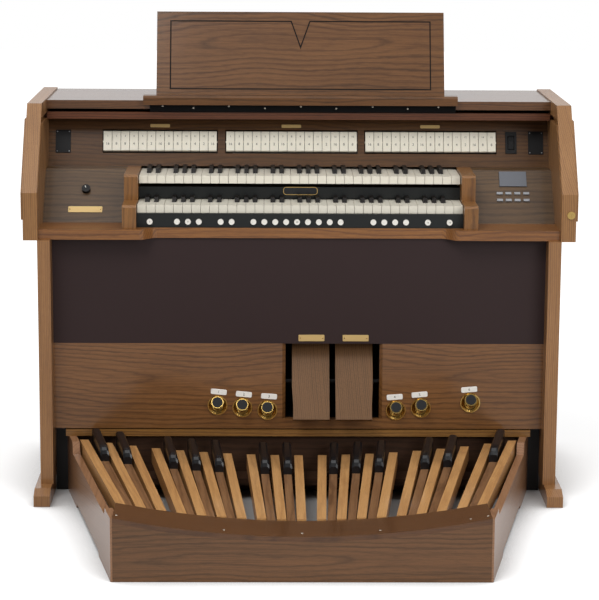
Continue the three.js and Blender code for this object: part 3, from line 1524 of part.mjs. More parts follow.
// Music ledge, desk, hinge and prop
const ledgeOutline = [
  [LEDGE_FRONT, LEDGE_BOTTOM],
  [LEDGE_FRONT, LEDGE_TOP - LEDGE_NOSE],
  [LEDGE_FRONT + LEDGE_NOSE, LEDGE_TOP],
  [LEDGE_BACK, LEDGE_TOP],
  [LEDGE_BACK, TOP_LEVEL],
  [TOP_FRONT, TOP_LEVEL],
  [TOP_FRONT, LEDGE_BOTTOM],
];
add(
  "music_ledge",
  fromSide(
    ledgeOutline,
    DESK_CENTRE - LEDGE_WIDTH * HALF_SHARE,
    DESK_CENTRE + LEDGE_WIDTH * HALF_SHARE,
  ),
  WALNUT,
);

const deskLeft = DESK_CENTRE - DESK_WIDTH * HALF_SHARE;
const deskRight = deskLeft + DESK_WIDTH;
const deskSlope = slope(DESK_BOTTOM_FRONT, DESK_BOTTOM_LEVEL, DESK_ANGLE);
const inlayLeft = deskLeft + DESK_INLAY_MARGIN;
const inlayRight = deskRight - DESK_INLAY_MARGIN;
const inlayTop = DESK_LENGTH - DESK_INLAY_DROP;
const inlayCorners = [
  [inlayLeft, DESK_INLAY_RISE],
  [inlayRight, DESK_INLAY_RISE],
  [inlayRight, inlayTop],
  [DESK_CENTRE + DESK_NOTCH_WIDTH, inlayTop],
  [DESK_CENTRE, inlayTop - DESK_NOTCH_DEPTH],
  [DESK_CENTRE - DESK_NOTCH_WIDTH, inlayTop],
  [inlayLeft, inlayTop],
];
const inlayHalf = DESK_INLAY_WIDTH * HALF_SHARE;
const inlayLines = inlayCorners.map(([x0, y0], index) => {
  const [x1, y1] = inlayCorners[(index + 1) % inlayCorners.length];
  const length = Math.hypot(x1 - x0, y1 - y0);
  const matrix = new THREE.Matrix4().makeRotationZ(Math.atan2(y1 - y0, x1 - x0));
  const line = block(
    -inlayHalf,
    length + inlayHalf,
    -inlayHalf,
    inlayHalf,
    -DESK_INLAY_DEPTH,
    DESK_THICKNESS,
  );
  return placed(line, matrix.setPosition(x0, y0, 0));
});
const deskFoot = DESK_THICKNESS / Math.tan(DESK_ANGLE);
const deskOutline = [
  [0, 0],
  [DESK_LENGTH, 0],
  [DESK_LENGTH, -DESK_THICKNESS],
  [deskFoot, -DESK_THICKNESS],
];
add(
  "music_desk",
  placed(cut(fromSide(deskOutline, deskLeft, deskRight), inlayLines), deskSlope),
  WALNUT,
);
add(
  "desk_hinge",
  joined([
    block(
      deskLeft,
      deskRight,
      HINGE_BEHIND - HINGE_FOOT_DEPTH * HALF_SHARE,
      HINGE_BEHIND + HINGE_FOOT_DEPTH * HALF_SHARE,
      TOP_LEVEL,
      TOP_LEVEL + HINGE_FOOT_HEIGHT,
    ),
    block(
      deskLeft,
      deskRight,
      HINGE_BEHIND - HINGE_RADIUS * HALF_SHARE,
      HINGE_BEHIND + HINGE_RADIUS * HALF_SHARE,
      TOP_LEVEL,
      HINGE_LEVEL,
    ),
    rod(
      [deskLeft, HINGE_BEHIND, HINGE_LEVEL],
      [deskRight, HINGE_BEHIND, HINGE_LEVEL],
      HINGE_RADIUS,
      SMALL_SIDES,
    ),
  ]),
  STEEL,
);
const propLeft = DESK_CENTRE - PROP_WIDTH * HALF_SHARE;
const propRight = propLeft + PROP_WIDTH;
const propTopY = HINGE_BEHIND + PROP_LENGTH * Math.cos(DESK_ANGLE);
const propTopZ = HINGE_LEVEL + PROP_LENGTH * Math.sin(DESK_ANGLE);
const propRun = PROP_LENGTH * Math.cos(DESK_ANGLE);
const propFootY = HINGE_BEHIND + propRun + propRun;
const propSlope = slope(propTopY, propTopZ, -DESK_ANGLE);
add(
  "desk_prop",
  joined([
    rod([propLeft, propTopY, propTopZ], [propRight, propTopY, propTopZ], PROP_RADIUS, SMALL_SIDES),
    rod([propLeft, propFootY, HINGE_LEVEL], [propRight, propFootY, HINGE_LEVEL], PROP_RADIUS, SMALL_SIDES),
    placed(
      block(
        propLeft,
        propRight,
        0,
        PROP_LENGTH,
        -PROP_THICKNESS * HALF_SHARE,
        PROP_THICKNESS * HALF_SHARE,
      ),
      propSlope,
    ),
  ]),
  STEEL,
);

// Pedalboard frame: curved heel board and cap, splayed sides and toe board
const heelCurve = (x) => HEEL_RISE * squared(x / HEEL_HALF_WIDTH);
const heelLine = (drop) =>
  HEEL_CURVE_SHARES.map((share) => {
    const x = HEEL_HALF_WIDTH * share;
    return [x, HEEL_LEVEL + heelCurve(x) - drop];
  });
add(
  "pedal_heel_cap",
  fromFront(
    [...heelLine(HEEL_CAP_THICKNESS), ...heelLine(0).toReversed()],
    HEEL_FRONT,
    HEEL_FRONT + HEEL_CAP_DEPTH,
  ),
  WALNUT,
);

const sideRun = PEDAL_SIDE_BACK - HEEL_FRONT;
const sideSplay = (PEDAL_SIDE_TOE - PEDAL_SIDE_HEEL) / sideRun;
const sideFace = (y) => PEDAL_SIDE_HEEL + (y - HEEL_FRONT) * sideSplay;
const sidePlan = [
  [sideFace(HEEL_FRONT), HEEL_FRONT],
  [sideFace(PEDAL_SIDE_BACK), PEDAL_SIDE_BACK],
  [sideFace(PEDAL_SIDE_BACK) - PEDAL_CHEEK_THICKNESS, PEDAL_SIDE_BACK],
  [sideFace(HEEL_FRONT) - PEDAL_CHEEK_THICKNESS, HEEL_FRONT],
];
const scoopFront = HEEL_FRONT + PEDAL_SCOOP_FROM_HEEL;
const scoopBack = PEDAL_SIDE_BACK - PEDAL_SCOOP_FROM_TOE - PEDAL_SCOOP_RAMP;
const sideProfile = [
  [HEEL_FRONT, 0],
  [PEDAL_CHEEK_LIFT_FRONT, 0],
  [PEDAL_CHEEK_LIFT_FRONT + PEDAL_CHEEK_LIFT, PEDAL_CHEEK_LIFT],
  [PEDAL_CHEEK_LIFT_BACK - PEDAL_CHEEK_LIFT, PEDAL_CHEEK_LIFT],
  [PEDAL_CHEEK_LIFT_BACK, 0],
  [PEDAL_SIDE_BACK, 0],
  [PEDAL_SIDE_BACK, PEDAL_SIDE_TOE_HEIGHT],
  [scoopBack + PEDAL_SCOOP_RAMP, PEDAL_SIDE_TOE_HEIGHT],
  [scoopBack, PEDAL_SIDE_HEEL_HEIGHT - PEDAL_SCOOP_DROP_TOE],
  ...SCOOP_ROUND_SHARES.map(([along, drop]) => [
    scoopFront + PEDAL_SCOOP_ROUND * along,
    PEDAL_SIDE_HEEL_HEIGHT - PEDAL_SCOOP_DROP_HEEL * drop,
  ]),
  [HEEL_FRONT, PEDAL_SIDE_HEEL_HEIGHT],
];
const heelRoom = block(
  -HEEL_HALF_WIDTH - SEAT_GAP,
  HEEL_HALF_WIDTH + SEAT_GAP,
  HEEL_FRONT - HEEL_THICKNESS,
  HEEL_FRONT + HEEL_CAP_DEPTH + SEAT_GAP,
  -HEEL_THICKNESS,
  PEDAL_SIDE_TOE_HEIGHT + PEDAL_SIDE_TOE_HEIGHT,
);

function pedalSide(plan, x0, x1) {
  const board = fromAbove(plan, 0, PEDAL_SIDE_TOE_HEIGHT);
  return cut(board.intersect(fromSide(sideProfile, x0, x1)), [heelRoom]);
}

add("left_pedal_side", pedalSide(mirrored(sidePlan), -PEDAL_SIDE_TOE, 0), WALNUT);
add("right_pedal_side", pedalSide(sidePlan, 0, PEDAL_SIDE_TOE), WALNUT);

const toeBoardBack = TOE_BOARD_FRONT + TOE_BOARD_THICKNESS;
const toeHalf = (y) => sideFace(y) - PEDAL_CHEEK_THICKNESS - SEAT_GAP;
const toePlan = (front, back) => [
  [-toeHalf(front), front],
  [toeHalf(front), front],
  [toeHalf(back), back],
  [-toeHalf(back), back],
];
add(
  "pedal_toe_board",
  joined([
    fromAbove(
      toePlan(TOE_BOARD_FRONT, toeBoardBack),
      TOE_BOARD_BOTTOM,
      TOE_COVER_BOTTOM,
    ),
    fromAbove(
      toePlan(TOE_BOARD_FRONT - TOE_REST_DEPTH, toeBoardBack),
      TOE_REST_TOP - TOE_REST_THICKNESS,
      TOE_REST_TOP,
    ),
    block(
      -PEDAL_SIDE_TOE,
      PEDAL_SIDE_TOE,
      TOE_BOARD_FRONT - TOE_COVER_REACH,
      PEDAL_SIDE_BACK,
      TOE_COVER_BOTTOM,
      TOE_COVER_TOP,
    ),
  ]),
  WALNUT,
);

// Pedal sticks: each runs from its tongue at the heel to the toe board
const pedalMiddle = (PEDAL_COUNT - 1) * HALF_SHARE;
const pitchHeel = (HEEL_HALF_WIDTH - PEDAL_HEEL_MARGIN) / pedalMiddle;
const pitchToe = (PEDAL_SIDE_TOE - PEDAL_TOE_MARGIN) / pedalMiddle;
const pitchGrowth = (pitchToe - pitchHeel) / (PEDAL_BACK - PEDAL_FRONT);
const pedalPitch = (y) => pitchHeel + (y - PEDAL_FRONT) * pitchGrowth;
const pedalX = (place, y) => (place - pedalMiddle) * pedalPitch(y);
const pedalRise = (place, y) => {
  const share = (y - PEDAL_FRONT) / (PEDAL_BACK - PEDAL_FRONT);
  const rise = PEDAL_RISE_HEEL + (PEDAL_RISE_TOE - PEDAL_RISE_HEEL) * share;
  return rise * squared((place - pedalMiddle) / pedalMiddle);
};

// The top corners of a stick's section, square or chamfered
function stickTop(half, high, chamfer) {
  if (chamfer > 0) {
    return [
      [half, high - chamfer],
      [half - chamfer, high],
      [chamfer - half, high],
      [-half, high - chamfer],
    ];
  }
  return [[half, high], [-half, high]];
}

// A stick given by stations [y, low, high] along its length
function pedalStick(place, width, stations, chamfer = 0) {
  const half = width * HALF_SHARE;
  const sections = stations.map(([y, low, high]) =>
    [[-half, low], [half, low], ...stickTop(half, high, chamfer)].map(([across, z]) => [
      pedalX(place, y) + across,
      y,
      z + pedalRise(place, y),
    ]),
  );
  const corners = [...sections.at(0).keys()];
  const farthest = (sections.length - 1) * corners.length;
  const faces = [];
  corners.slice(1, corners.length - 1).forEach((corner) => {
    faces.push(0, corner, corner + 1);
    faces.push(farthest, farthest + corner + 1, farthest + corner);
  });
  sections.slice(1).forEach((_, index) => {
    const near = index * corners.length;
    const far = near + corners.length;
    corners.forEach((corner) => {
      const next = (corner + 1) % corners.length;
      faces.push(near + corner, far + corner, far + next);
      faces.push(near + corner, far + next, near + next);
    });
  });
  const vertices = sections.flat().flat();
  const geometry = new THREE.BufferGeometry();
  geometry.setAttribute("position", new THREE.Float32BufferAttribute(vertices, 3));
  geometry.setIndex(faces);
  return solidOf(geometry);
}

const tongueHigh = HEEL_LEVEL - PEDAL_TONGUE_DROP;
const tongueLow = tongueHigh - PEDAL_TONGUE_HEIGHT;
const pedalPlaces = Array.from({ length: PEDAL_COUNT }, (_, index) => index);
const sharpPlaces = pedalPlaces
  .filter((index) => index < PEDAL_COUNT - 1)
  .filter((index) => SHARPS_AFTER_SHARES.includes(index % OCTAVE_NATURALS))
  .map((index) => index + HALF_SHARE);
const stickLow = PEDAL_LEVEL - PEDAL_HEIGHT;

const sharpTongueLow = tongueLow - PEDAL_RAIL_GAP - PEDAL_TONGUE_HEIGHT;
const railBack = PEDAL_TONGUE_BACK + PEDAL_RAIL_DEPTH;
const naturalBack = HEEL_FRONT + HEEL_THICKNESS + SEAT_GAP;
const railMiddle = PEDAL_TONGUE_BACK + PEDAL_RAIL_DEPTH * HALF_SHARE;

function tongue(place, back, low) {
  return pedalStick(place, PEDAL_WIDTH * HALF_SHARE, [
    [back, low, low + PEDAL_TONGUE_HEIGHT],
    [PEDAL_FRONT + PEDAL_WIDTH, low, low + PEDAL_TONGUE_HEIGHT],
  ]);
}

function railEdge(places, level) {
  return places.map((place) => [
    pedalX(place, railMiddle),
    level + pedalRise(place, railMiddle),
  ]);
}

function pedalRail(places, back, low) {
  const high = low + PEDAL_RAIL_HEIGHT;
  return fromFront(
    [...railEdge(places, low), ...railEdge(places, high).toReversed()],
    back,
    back + PEDAL_RAIL_DEPTH,
  );
}

add(
  "pedal_naturals",
  joined([
    ...pedalPlaces.map((place) =>
      pedalStick(place, PEDAL_WIDTH, [
        [PEDAL_FRONT, stickLow, PEDAL_LEVEL],
        [PEDAL_BACK, stickLow, PEDAL_LEVEL],
      ]),
    ),
    ...pedalPlaces.map((place) => tongue(place, naturalBack, tongueLow)),
    pedalRail(pedalPlaces, naturalBack, tongueLow),
  ]),
  OAK,
);

const sharpStickHigh = PEDAL_LEVEL - PEDAL_SHARP_DROP;
const sharpStickLow = sharpStickHigh - PEDAL_SHARP_HEIGHT;
const heelEnd = PEDAL_FRONT + PEDAL_SHARP_HEEL_LENGTH;
const capLow = sharpStickHigh - PEDAL_SHARP_TOLERANCE;
const sharpWood = PEDAL_SHARP_WIDTH - PEDAL_SHARP_TOLERANCE;
const capStations = PEDAL_CAP_SHARES.map(([along, rise]) => [
  PEDAL_CAP_FRONT + PEDAL_CAP_NOSE * along,
  capLow,
  PEDAL_LEVEL + PEDAL_CAP_RISE_FRONT * rise,
]);
add(
  "pedal_sharps",
  joined([
    ...sharpPlaces.map((place) =>
      pedalStick(place, sharpWood, [
        [PEDAL_FRONT, sharpTongueLow, sharpStickHigh],
        [heelEnd, sharpTongueLow, sharpStickHigh],
        [heelEnd + PEDAL_SHARP_HEEL_LENGTH, sharpStickLow, sharpStickHigh],
        [PEDAL_BACK, sharpStickLow, sharpStickHigh],
      ]),
    ),
    ...sharpPlaces.map((place) =>
      pedalStick(
        place,
        PEDAL_SHARP_WIDTH,
        [...capStations, [PEDAL_BACK, capLow, PEDAL_LEVEL + PEDAL_CAP_RISE_BACK]],
        PEDAL_CAP_CHAMFER,
      ),
    ),
    ...sharpPlaces.map((place) => tongue(place, PEDAL_TONGUE_BACK, sharpTongueLow)),
    pedalRail(sharpPlaces, PEDAL_TONGUE_BACK, sharpTongueLow),
  ]),
  DARK_OAK,
);

// Heel board with the bed and the curved bearer that carries both pedal rails
const bearerEdge = railEdge(pedalPlaces, sharpTongueLow - PEDAL_BEARER_GAP);
add(
  "pedal_heel_board",
  joined([
    fromFront(
      [[-HEEL_HALF_WIDTH, 0], [HEEL_HALF_WIDTH, 0], ...heelLine(HEEL_CAP_THICKNESS).toReversed()],
      HEEL_FRONT,
      HEEL_FRONT + HEEL_THICKNESS,
    ),
    fromFront(
      [[bearerEdge.at(0).at(0), 0], [bearerEdge.at(-1).at(0), 0], ...bearerEdge.toReversed()],
      PEDAL_TONGUE_BACK,
      railBack,
    ),
    block(
      -HEEL_HALF_WIDTH,
      HEEL_HALF_WIDTH,
      HEEL_FRONT,
      HEEL_FRONT + HEEL_CAP_DEPTH,
      0,
      HEEL_BED_HEIGHT,
    ),
  ]),
  WALNUT,
);

// Centre the whole organ over its footprint
organ.position.y = -(HEEL_FRONT + CASE_BACK) * HALF_SHARE;

export default organ;
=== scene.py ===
# %% [markdown]
# # A two-manual console organ, finished for its portrait
# The solid pieces already exist. This lesson gives each one the finish its real counterpart has,
# adds the small fittings that are too fine to be worth modelling as solids, and lights the whole
# like a catalogue photograph. Blender works in metres, so MM turns a size in millimetres into one.

# %% Load the solids
import math

import bpy
from mathutils import Matrix, Vector


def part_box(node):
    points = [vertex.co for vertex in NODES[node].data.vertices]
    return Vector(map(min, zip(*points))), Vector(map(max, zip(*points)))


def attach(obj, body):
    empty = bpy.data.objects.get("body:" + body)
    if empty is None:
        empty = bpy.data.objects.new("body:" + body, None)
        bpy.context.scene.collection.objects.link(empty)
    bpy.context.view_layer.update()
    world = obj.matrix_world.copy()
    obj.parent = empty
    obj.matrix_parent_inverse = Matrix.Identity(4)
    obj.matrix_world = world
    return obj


MM = 0.001
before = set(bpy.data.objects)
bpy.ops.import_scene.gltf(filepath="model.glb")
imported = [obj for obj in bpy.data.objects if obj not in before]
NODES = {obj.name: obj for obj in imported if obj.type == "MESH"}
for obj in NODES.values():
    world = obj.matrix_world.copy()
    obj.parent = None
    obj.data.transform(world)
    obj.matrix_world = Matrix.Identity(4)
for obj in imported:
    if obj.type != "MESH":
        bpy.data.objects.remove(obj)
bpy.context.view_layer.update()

# %% [markdown]
# ## One node, one colour
# A material is a small graph of nodes. One function adds a node with its options and its wires, so
# that each recipe below reads as a list of steps, and another fills the sockets of a node that is
# there already. Colours are picked from a screen as sRGB hex values, and a third function turns
# them into the linear values that a shader works in.

# %% One node, one colour
# a Mix node names its sockets alike for numbers and colours, so those for colours are counted
FACTOR, FIRST, SECOND, MIXED = 0, 6, 7, 2


def linear(hex_colour):
    """Screen colour such as "8a5a3c" as linear RGBA, by the sRGB standard's own formula."""
    parts = [int(hex_colour[i : i + 2], 16) / 255 for i in (0, 2, 4)]
    return [v / 12.92 if v <= 0.04045 else ((v + 0.055) / 1.055) ** 2.4 for v in parts] + [1.0]


def wire(tree, node, links):
    """Fills sockets of a node, each with a plain value or with another node's output."""
    for key, value in links.items():
        if isinstance(value, bpy.types.NodeSocket):
            tree.links.new(value, node.inputs[key])
        else:
            node.inputs[key].default_value = value


def add(tree, kind, links=None, out=0, stops=(), **settings):
    """A new node's output. settings are its options, links its values or wires, stops a ramp's colours."""
    made = tree.nodes.new("ShaderNode" + kind)
    for name, value in settings.items():
        setattr(made, name, value)
    wire(tree, made, links or {})
    # a ramp is born with two colours
    for _ in stops[2:]:
        made.color_ramp.elements.new(0.5)
    for i, (place, colour) in enumerate(stops):
        made.color_ramp.elements[i].position = place
        made.color_ramp.elements[i].color = linear(colour)
    return made.outputs[out]


def material(name):
    """An empty material with its graph and its principled shader."""
    made = bpy.data.materials.new(name)
    made.use_nodes = True
    return made, made.node_tree, made.node_tree.nodes["Principled BSDF"]


print("the screen's mid grey is", round(linear("808080")[0], 3), "to a shader")

# %% [markdown]
# ## A log to cut the boards from
# The case is veneered in oak, and veneer is a slice through a log. The year rings are nested cones
# around a heart, so a board cut just above the heart shows long arches, and one cut far from it
# only straight lines. A picture of wood could be pasted on each face, but it would break at every
# edge. Here the pattern is a whole log in space: each board says which way its grain runs and where
# the heart of its log lies, and the lines then continue round the corners as they do in real wood.

# %% A log to cut the boards from
GRAIN = {"X": (0, 0, 0), "Y": (0, 0, math.radians(-90)), "Z": (0, math.radians(90), 0)}
# the sticks of the pedalboard spread like a fan: its two ends, and its width there as a share
FAN_HEEL, FAN_TOE = -522.5 * MM, 71.5 * MM
HEEL_SHARE, TOE_SHARE = 0.87, 1.15


def fanned(tree, where):
    """Coordinates in which the pedal sticks lie parallel."""
    axes = add(tree, "SeparateXYZ", {"Vector": where}).node.outputs
    spread = {"From Min": FAN_HEEL, "From Max": FAN_TOE, "To Min": HEEL_SHARE, "To Max": TOE_SHARE}
    width = add(tree, "MapRange", {"Value": axes["Y"], **spread}, clamp=False)
    across = add(tree, "Math", {0: axes["X"], 1: width}, operation="DIVIDE")
    return add(tree, "CombineXYZ", {"X": across, "Y": axes["Y"], "Z": axes["Z"]})


def in_log(tree, grain, heart, fan):
    """The place seen from the heart of the log, with the grain along the pattern's own X."""
    where = add(tree, "TexCoord", out="Object")
    if fan:
        where = fanned(tree, where)
    from_heart = add(tree, "VectorMath", {0: where, 1: heart}, operation="SUBTRACT")
    return add(tree, "Mapping", {"Vector": from_heart, "Rotation": GRAIN[grain]})


def stretched(tree, place, length, width):
    """Coordinates in which one unit is that many mm along the grain and that many across it."""
    scale = (1 / (length * MM), 1 / (width * MM), 1 / (width * MM))
    return add(tree, "Mapping", {"Vector": place, "Scale": scale})


print("grain can run along", ", ".join(GRAIN))

# %% [markdown]
# ## Year rings
# Each year a tree adds pale wood in spring and a dark line of late wood. The distance from the heart
# counts the years, and its fraction is the season. A tree never grows straight, so slow noise bends
# the heart and quick noise makes each line tremble. Some years leave a bold line and others hardly
# any, which a third noise decides: without it the boards would look combed.

# %% Year rings
PATTERN = {"Scale": 1.0, "Roughness": 0.55}  # one speck of noise per unit of its coordinates
NOISE_MIDDLE = (0.5, 0.5, 0.5)
BEND = (470, 280)  # mm along and across the grain
TREMBLE, TREMBLE_SHARE = (45, 9), 0.7  # mm, and the share of a year that a line moves
SEASONS = [(0.0, "909090"), (0.22, "101010"), (0.5, "202020"), (0.8, "ffffff"), (1.0, "909090")]
YEARS = {"Scale": 0.6, "Detail": 2.0}
BOLDEST, FAINTEST, LEAST_LINE = 1.9, -0.5, 0.15


def year_lines(tree, place, wander, ring):
    """How dark the late wood is, from 0 to 1, around a heart that wanders, with a line each ring mm."""
    slow = {"Vector": stretched(tree, place, *BEND), "Scale": 1.0, "Detail": 1.0}
    drift = add(tree, "TexNoise", slow, "Color")
    sway = add(tree, "VectorMath", {0: drift, 1: NOISE_MIDDLE}, operation="SUBTRACT")
    bend = add(tree, "VectorMath", {0: sway, 1: (0, wander * MM, wander * MM)}, operation="MULTIPLY")
    section = add(tree, "VectorMath", {0: place, 1: (0, 1, 1)}, operation="MULTIPLY")
    apart = add(tree, "VectorMath", {0: section, 1: bend}, operation="ADD")
    radius = add(tree, "VectorMath", {0: apart}, "Value", operation="LENGTH")
    quick = {"Vector": stretched(tree, place, *TREMBLE), "Detail": 2.0, **PATTERN}
    tremble = add(tree, "MapRange", {"Value": add(tree, "TexNoise", quick), "To Max": TREMBLE_SHARE})
    years = add(tree, "Math", {0: radius, 1: 1 / (ring * MM), 2: tremble}, operation="MULTIPLY_ADD")
    season = add(tree, "Math", {0: years}, operation="FRACT")
    line = add(tree, "ValToRGB", {"Fac": season}, stops=SEASONS)
    luck = add(tree, "TexNoise", {"W": years, **YEARS}, noise_dimensions="1D")
    bold = add(tree, "MapRange", {"Value": luck, "To Min": BOLDEST, "To Max": FAINTEST})
    shown = add(tree, "Clamp", {"Value": bold, "Min": LEAST_LINE, "Max": 1.0})
    return add(tree, "Math", {0: line, 1: shown}, operation="MULTIPLY")


print("a year's line is darkest at", max(SEASONS, key=lambda stop: stop[1])[0], "of its width")

# %% [markdown]
# ## Stained oak under lacquer
# Oak is ring porous: its fibres are finer than a hair, and between them run open pores two or three
# centimetres long. Stain gathers in the pores and dries darker there, and a thin satin lacquer lies
# over the whole without filling them. So one noise draws fibres, one pores and one slow clouds of
# tone. Fibres are drawn 1.5 mm wide and pores 0.8 mm, coarser than the real ones, so that they show.

# %% Stained oak under lacquer
FIBRE, PORE, CLOUD = (140, 1.5), (22, 0.8), (420, 120)  # mm along and across the grain
CLOUD_SHARE, PORE_STAIN, FIBRE_RELIEF = 0.35, 0.35, 0.5
PORE_EDGE = [(0.36, "000000"), (0.46, "ffffff")]
DARK_AT, MIDDLE_AT, LIGHT_AT = 0.25, 0.47, 0.72
PORE_DEPTH = 0.1 * MM
ROUGH_LESS, ROUGH_MORE = 0.06, 0.08
LACQUER_ROUGH, WOOD_GLOSS = 0.13, 0.25


def oak(name, grain, stain, heart, wander=60, ring=6, coat=0.5, rough=0.42, figure=0.8, fan=False):
    """Stained oak: dark, middle and light stain, heart in metres, wander and ring in mm, and a
    figure that says how strongly the year rings show."""
    made, tree, shader = material(name)
    dark, middle, light = stain
    place = in_log(tree, grain, heart, fan)
    fibres = {"Vector": stretched(tree, place, *FIBRE), "Scale": 1.0, "Detail": 4.0, "Roughness": 0.6}
    fibre = add(tree, "TexNoise", fibres)
    dashes = add(tree, "TexNoise", {"Vector": stretched(tree, place, *PORE), "Detail": 2.0, **PATTERN})
    pores = add(tree, "ValToRGB", {"Fac": dashes}, stops=PORE_EDGE)
    cloud = add(tree, "TexNoise", {"Vector": stretched(tree, place, *CLOUD), "Detail": 2.0, **PATTERN})
    mottled = add(tree, "Mix", {FACTOR: CLOUD_SHARE, FIRST: fibre, SECOND: cloud}, MIXED, data_type="RGBA")
    tones = [(DARK_AT, dark), (MIDDLE_AT, middle), (LIGHT_AT, light)]
    tone = add(tree, "ValToRGB", {"Fac": mottled}, stops=tones)
    lines = add(tree, "Math", {0: year_lines(tree, place, wander, ring), 1: figure}, operation="MULTIPLY")
    drawn = add(tree, "Mix", {FACTOR: lines, FIRST: tone, SECOND: linear(dark)}, MIXED, data_type="RGBA")
    gathered = add(tree, "MapRange", {"Value": pores, "To Min": PORE_STAIN, "To Max": 0.0})
    colour = add(tree, "Mix", {FACTOR: gathered, FIRST: drawn, SECOND: linear(dark)}, MIXED, data_type="RGBA")
    polish = {"Value": fibre, "To Min": rough - ROUGH_LESS, "To Max": rough + ROUGH_MORE}
    relief = add(tree, "Mix", {FACTOR: FIBRE_RELIEF, FIRST: pores, SECOND: fibre}, MIXED, data_type="RGBA")
    surface = {
        "Base Color": colour,
        "Roughness": add(tree, "MapRange", polish),
        "Normal": add(tree, "Bump", {"Height": relief, "Distance": PORE_DEPTH}),
        "Coat Weight": coat,
        "Coat Roughness": LACQUER_ROUGH,
        "Specular IOR Level": WOOD_GLOSS,
    }
    wire(tree, shader, surface)
    print(name)
    return made


print("pores are drawn", PORE[0], "mm long and", PORE[1], "mm wide")

# %% [markdown]
# ## Boards of the case
# Every board of the case is the same oak, but a cabinet maker picks the cut for the place: plain
# straight grain for what stands upright, a lively flat-sawn board where the eye rests. The heart of
# the log is put far away for straight lines, and just behind the face for arches.

# %% Boards of the case
# straight lines under satin lacquer: a calm dark top with a soft sheen along its front edge
BOARD = oak("oak board, walnut stain, satin lacquer", "X", ("3c2412", "5f3d22", "704b2b"), (0, 0.9, 0.3))
# rubbed by hands and lighter: the warm band that carries the keyboards
TABLE = oak("oak key table, walnut stain", "X", ("57341b", "87572b", "9c6a36"), (0.2, 0.5, 0.5), wander=30)
# stained redder and hardly lacquered: a dull line that parts the top from the stop panel
RAIL = oak(
    "oak lid bar, reddish walnut stain", "X", ("351b0e", "5c331d", "6d4229"), (0.1, 0.6, 0.5),
    wander=20, coat=0.15,
)
# flat sawn, with the heart just behind the face: long arches that run the width of the case
KICK = oak(
    "oak kick panel, walnut stain, flat sawn", "X", ("4b2f18", "764e28", "8b5f36"), (0.35, 0.088, 0.315),
    wander=75, ring=12,
)
# quarter sawn and lightly stained: fine upright lines, the palest wood of the case
UPRIGHT = oak(
    "oak leg, walnut stain, upright grain", "Z", ("694529", "976b40", "ab7d50"), (1.5, 0.2, 0),
    wander=20, ring=5,
)
# the same cut with less lacquer: its slopes face the lights and would glare otherwise
CHEEK = oak(
    "oak cheek, walnut stain, upright grain", "Z", ("644329", "946a40", "a87c50"), (1.5, 0.4, 0),
    wander=20, ring=5, coat=0.2,
)
# painted shade: below its cover the toe board is a darker, matt brown without lacquer, for the shadow the
# cover casts
TOE_PAINTED_SHADE = oak(
    "oak toe board, unlacquered, painted shade", "X", ("2a1a0f", "40291a", "4c3322"), (0, 0.9, 0.4),
    wander=30, coat=0.0, rough=0.6,
)

# %% [markdown]
# ## Boards of the playing table and the music desk
# Around the keys the boards are stained darker, so that ivory and white stand out. The lines of the
# music desk are the widest of all, because it is cut close to the heart and is seen from a distance.

# %% Boards of the playing table and the music desk
# end blocks cut across a thick plank: short upright lines beside the keys
BLOCK = oak(
    "oak key block, light walnut stain", "Z", ("553821", "83592f", "986b3c"), (0.2, 1.5, 0),
    wander=20, ring=5, coat=0.3,
)
# flat sawn and dark: broad lines that pass behind the three rows of tabs
STOPBOARD = oak(
    "oak stop panel, dark walnut stain", "X", ("34200d", "57381b", "684825"), (0.1, 0.36, 0.84),
    ring=11, coat=0.3,
)
# a greyer stain that is partly painted sheen, the grey these slopes show from the lamps above: they look
# cooler than the rest
SLOPE_WITH_PAINTED_SHEEN = oak(
    "oak control panel, walnut stain, painted grey sheen", "X", ("332416", "543e27", "664e32"), (0.2, 0.4, 0.4),
    wander=40, coat=0.2,
)
# cut close to the heart: wide arches across the whole desk, with a dull sheen that doesn't glare
DESK = oak(
    "oak music desk, walnut stain, flat sawn", "X", ("38220d", "664222", "754f2c"), (0.1, 0.4, 1.16),
    wander=95, ring=13, coat=0.2,
)
# straight grain, so that the narrow ledge reads as one line below the desk
LEDGE = oak(
    "oak ledge, walnut stain", "X", ("38220d", "5f3d1f", "6e4928"), (0.1, 0.9, 0.6),
    wander=30, coat=0.15,
)

# %% [markdown]
# ## Boards underfoot
# The pedalboard wears the hardest. Its sticks are pale and clear lacquered where shoes slide over
# them, the short sharp sticks are darker, and its frame matches the case. The grain of the sticks
# follows each stick, which is what the fanned coordinates are for.

# %% Boards underfoot
# flat sawn: arches along the front, the largest piece of figured wood below the keys
HEEL = oak(
    "oak heel board, walnut stain, flat sawn", "X", ("462f18", "6d492a", "805633"), (0, -0.64, 0.05),
    wander=55, ring=11,
)
# grain from front to back, and a paler colour that is partly painted sheen: the pale pinkish grey these sides
# show at a grazing angle, beside the darker heel board
PEDAL_SIDE_PAINTED_SHEEN = oak(
    "oak pedal side, walnut stain, lengthwise", "Y", ("78543a", "997050", "aa8062"), (0.4, 0.2, -1.2),
    wander=20,
)
# a strip of light wood that ends the pedalboard behind the sharps
COVER = oak(
    "oak toe cover, light walnut stain", "X", ("553820", "89602f", "9a713f"), (0.1, 0.6, -0.5),
    wander=20, coat=0.2,
)
# upright grain and little lacquer: matt boards that soles have dulled
SHOE = oak(
    "oak swell shoe, walnut stain", "Z", ("4c331d", "705031", "805d3e"), (1.6, 0.3, 0.1),
    wander=10, ring=5, coat=0.15,
)
# bare oak under clear lacquer: honey coloured, the brightest wood of the instrument
STICK = oak(
    "oak pedal stick, clear lacquer", "Y", ("976840", "c8955c", "daac76"), (0.3, 0, -1.2),
    wander=25, figure=0.5, fan=True,
)
# one coat of stain: the short sticks step back behind the pale ones
DARKSTICK = oak(
    "oak sharp pedal stick, light stain", "Y", ("5c3d26", "896342", "9c7652"), (0.3, 0, -1.2),
    wander=25, coat=0.3, fan=True,
)

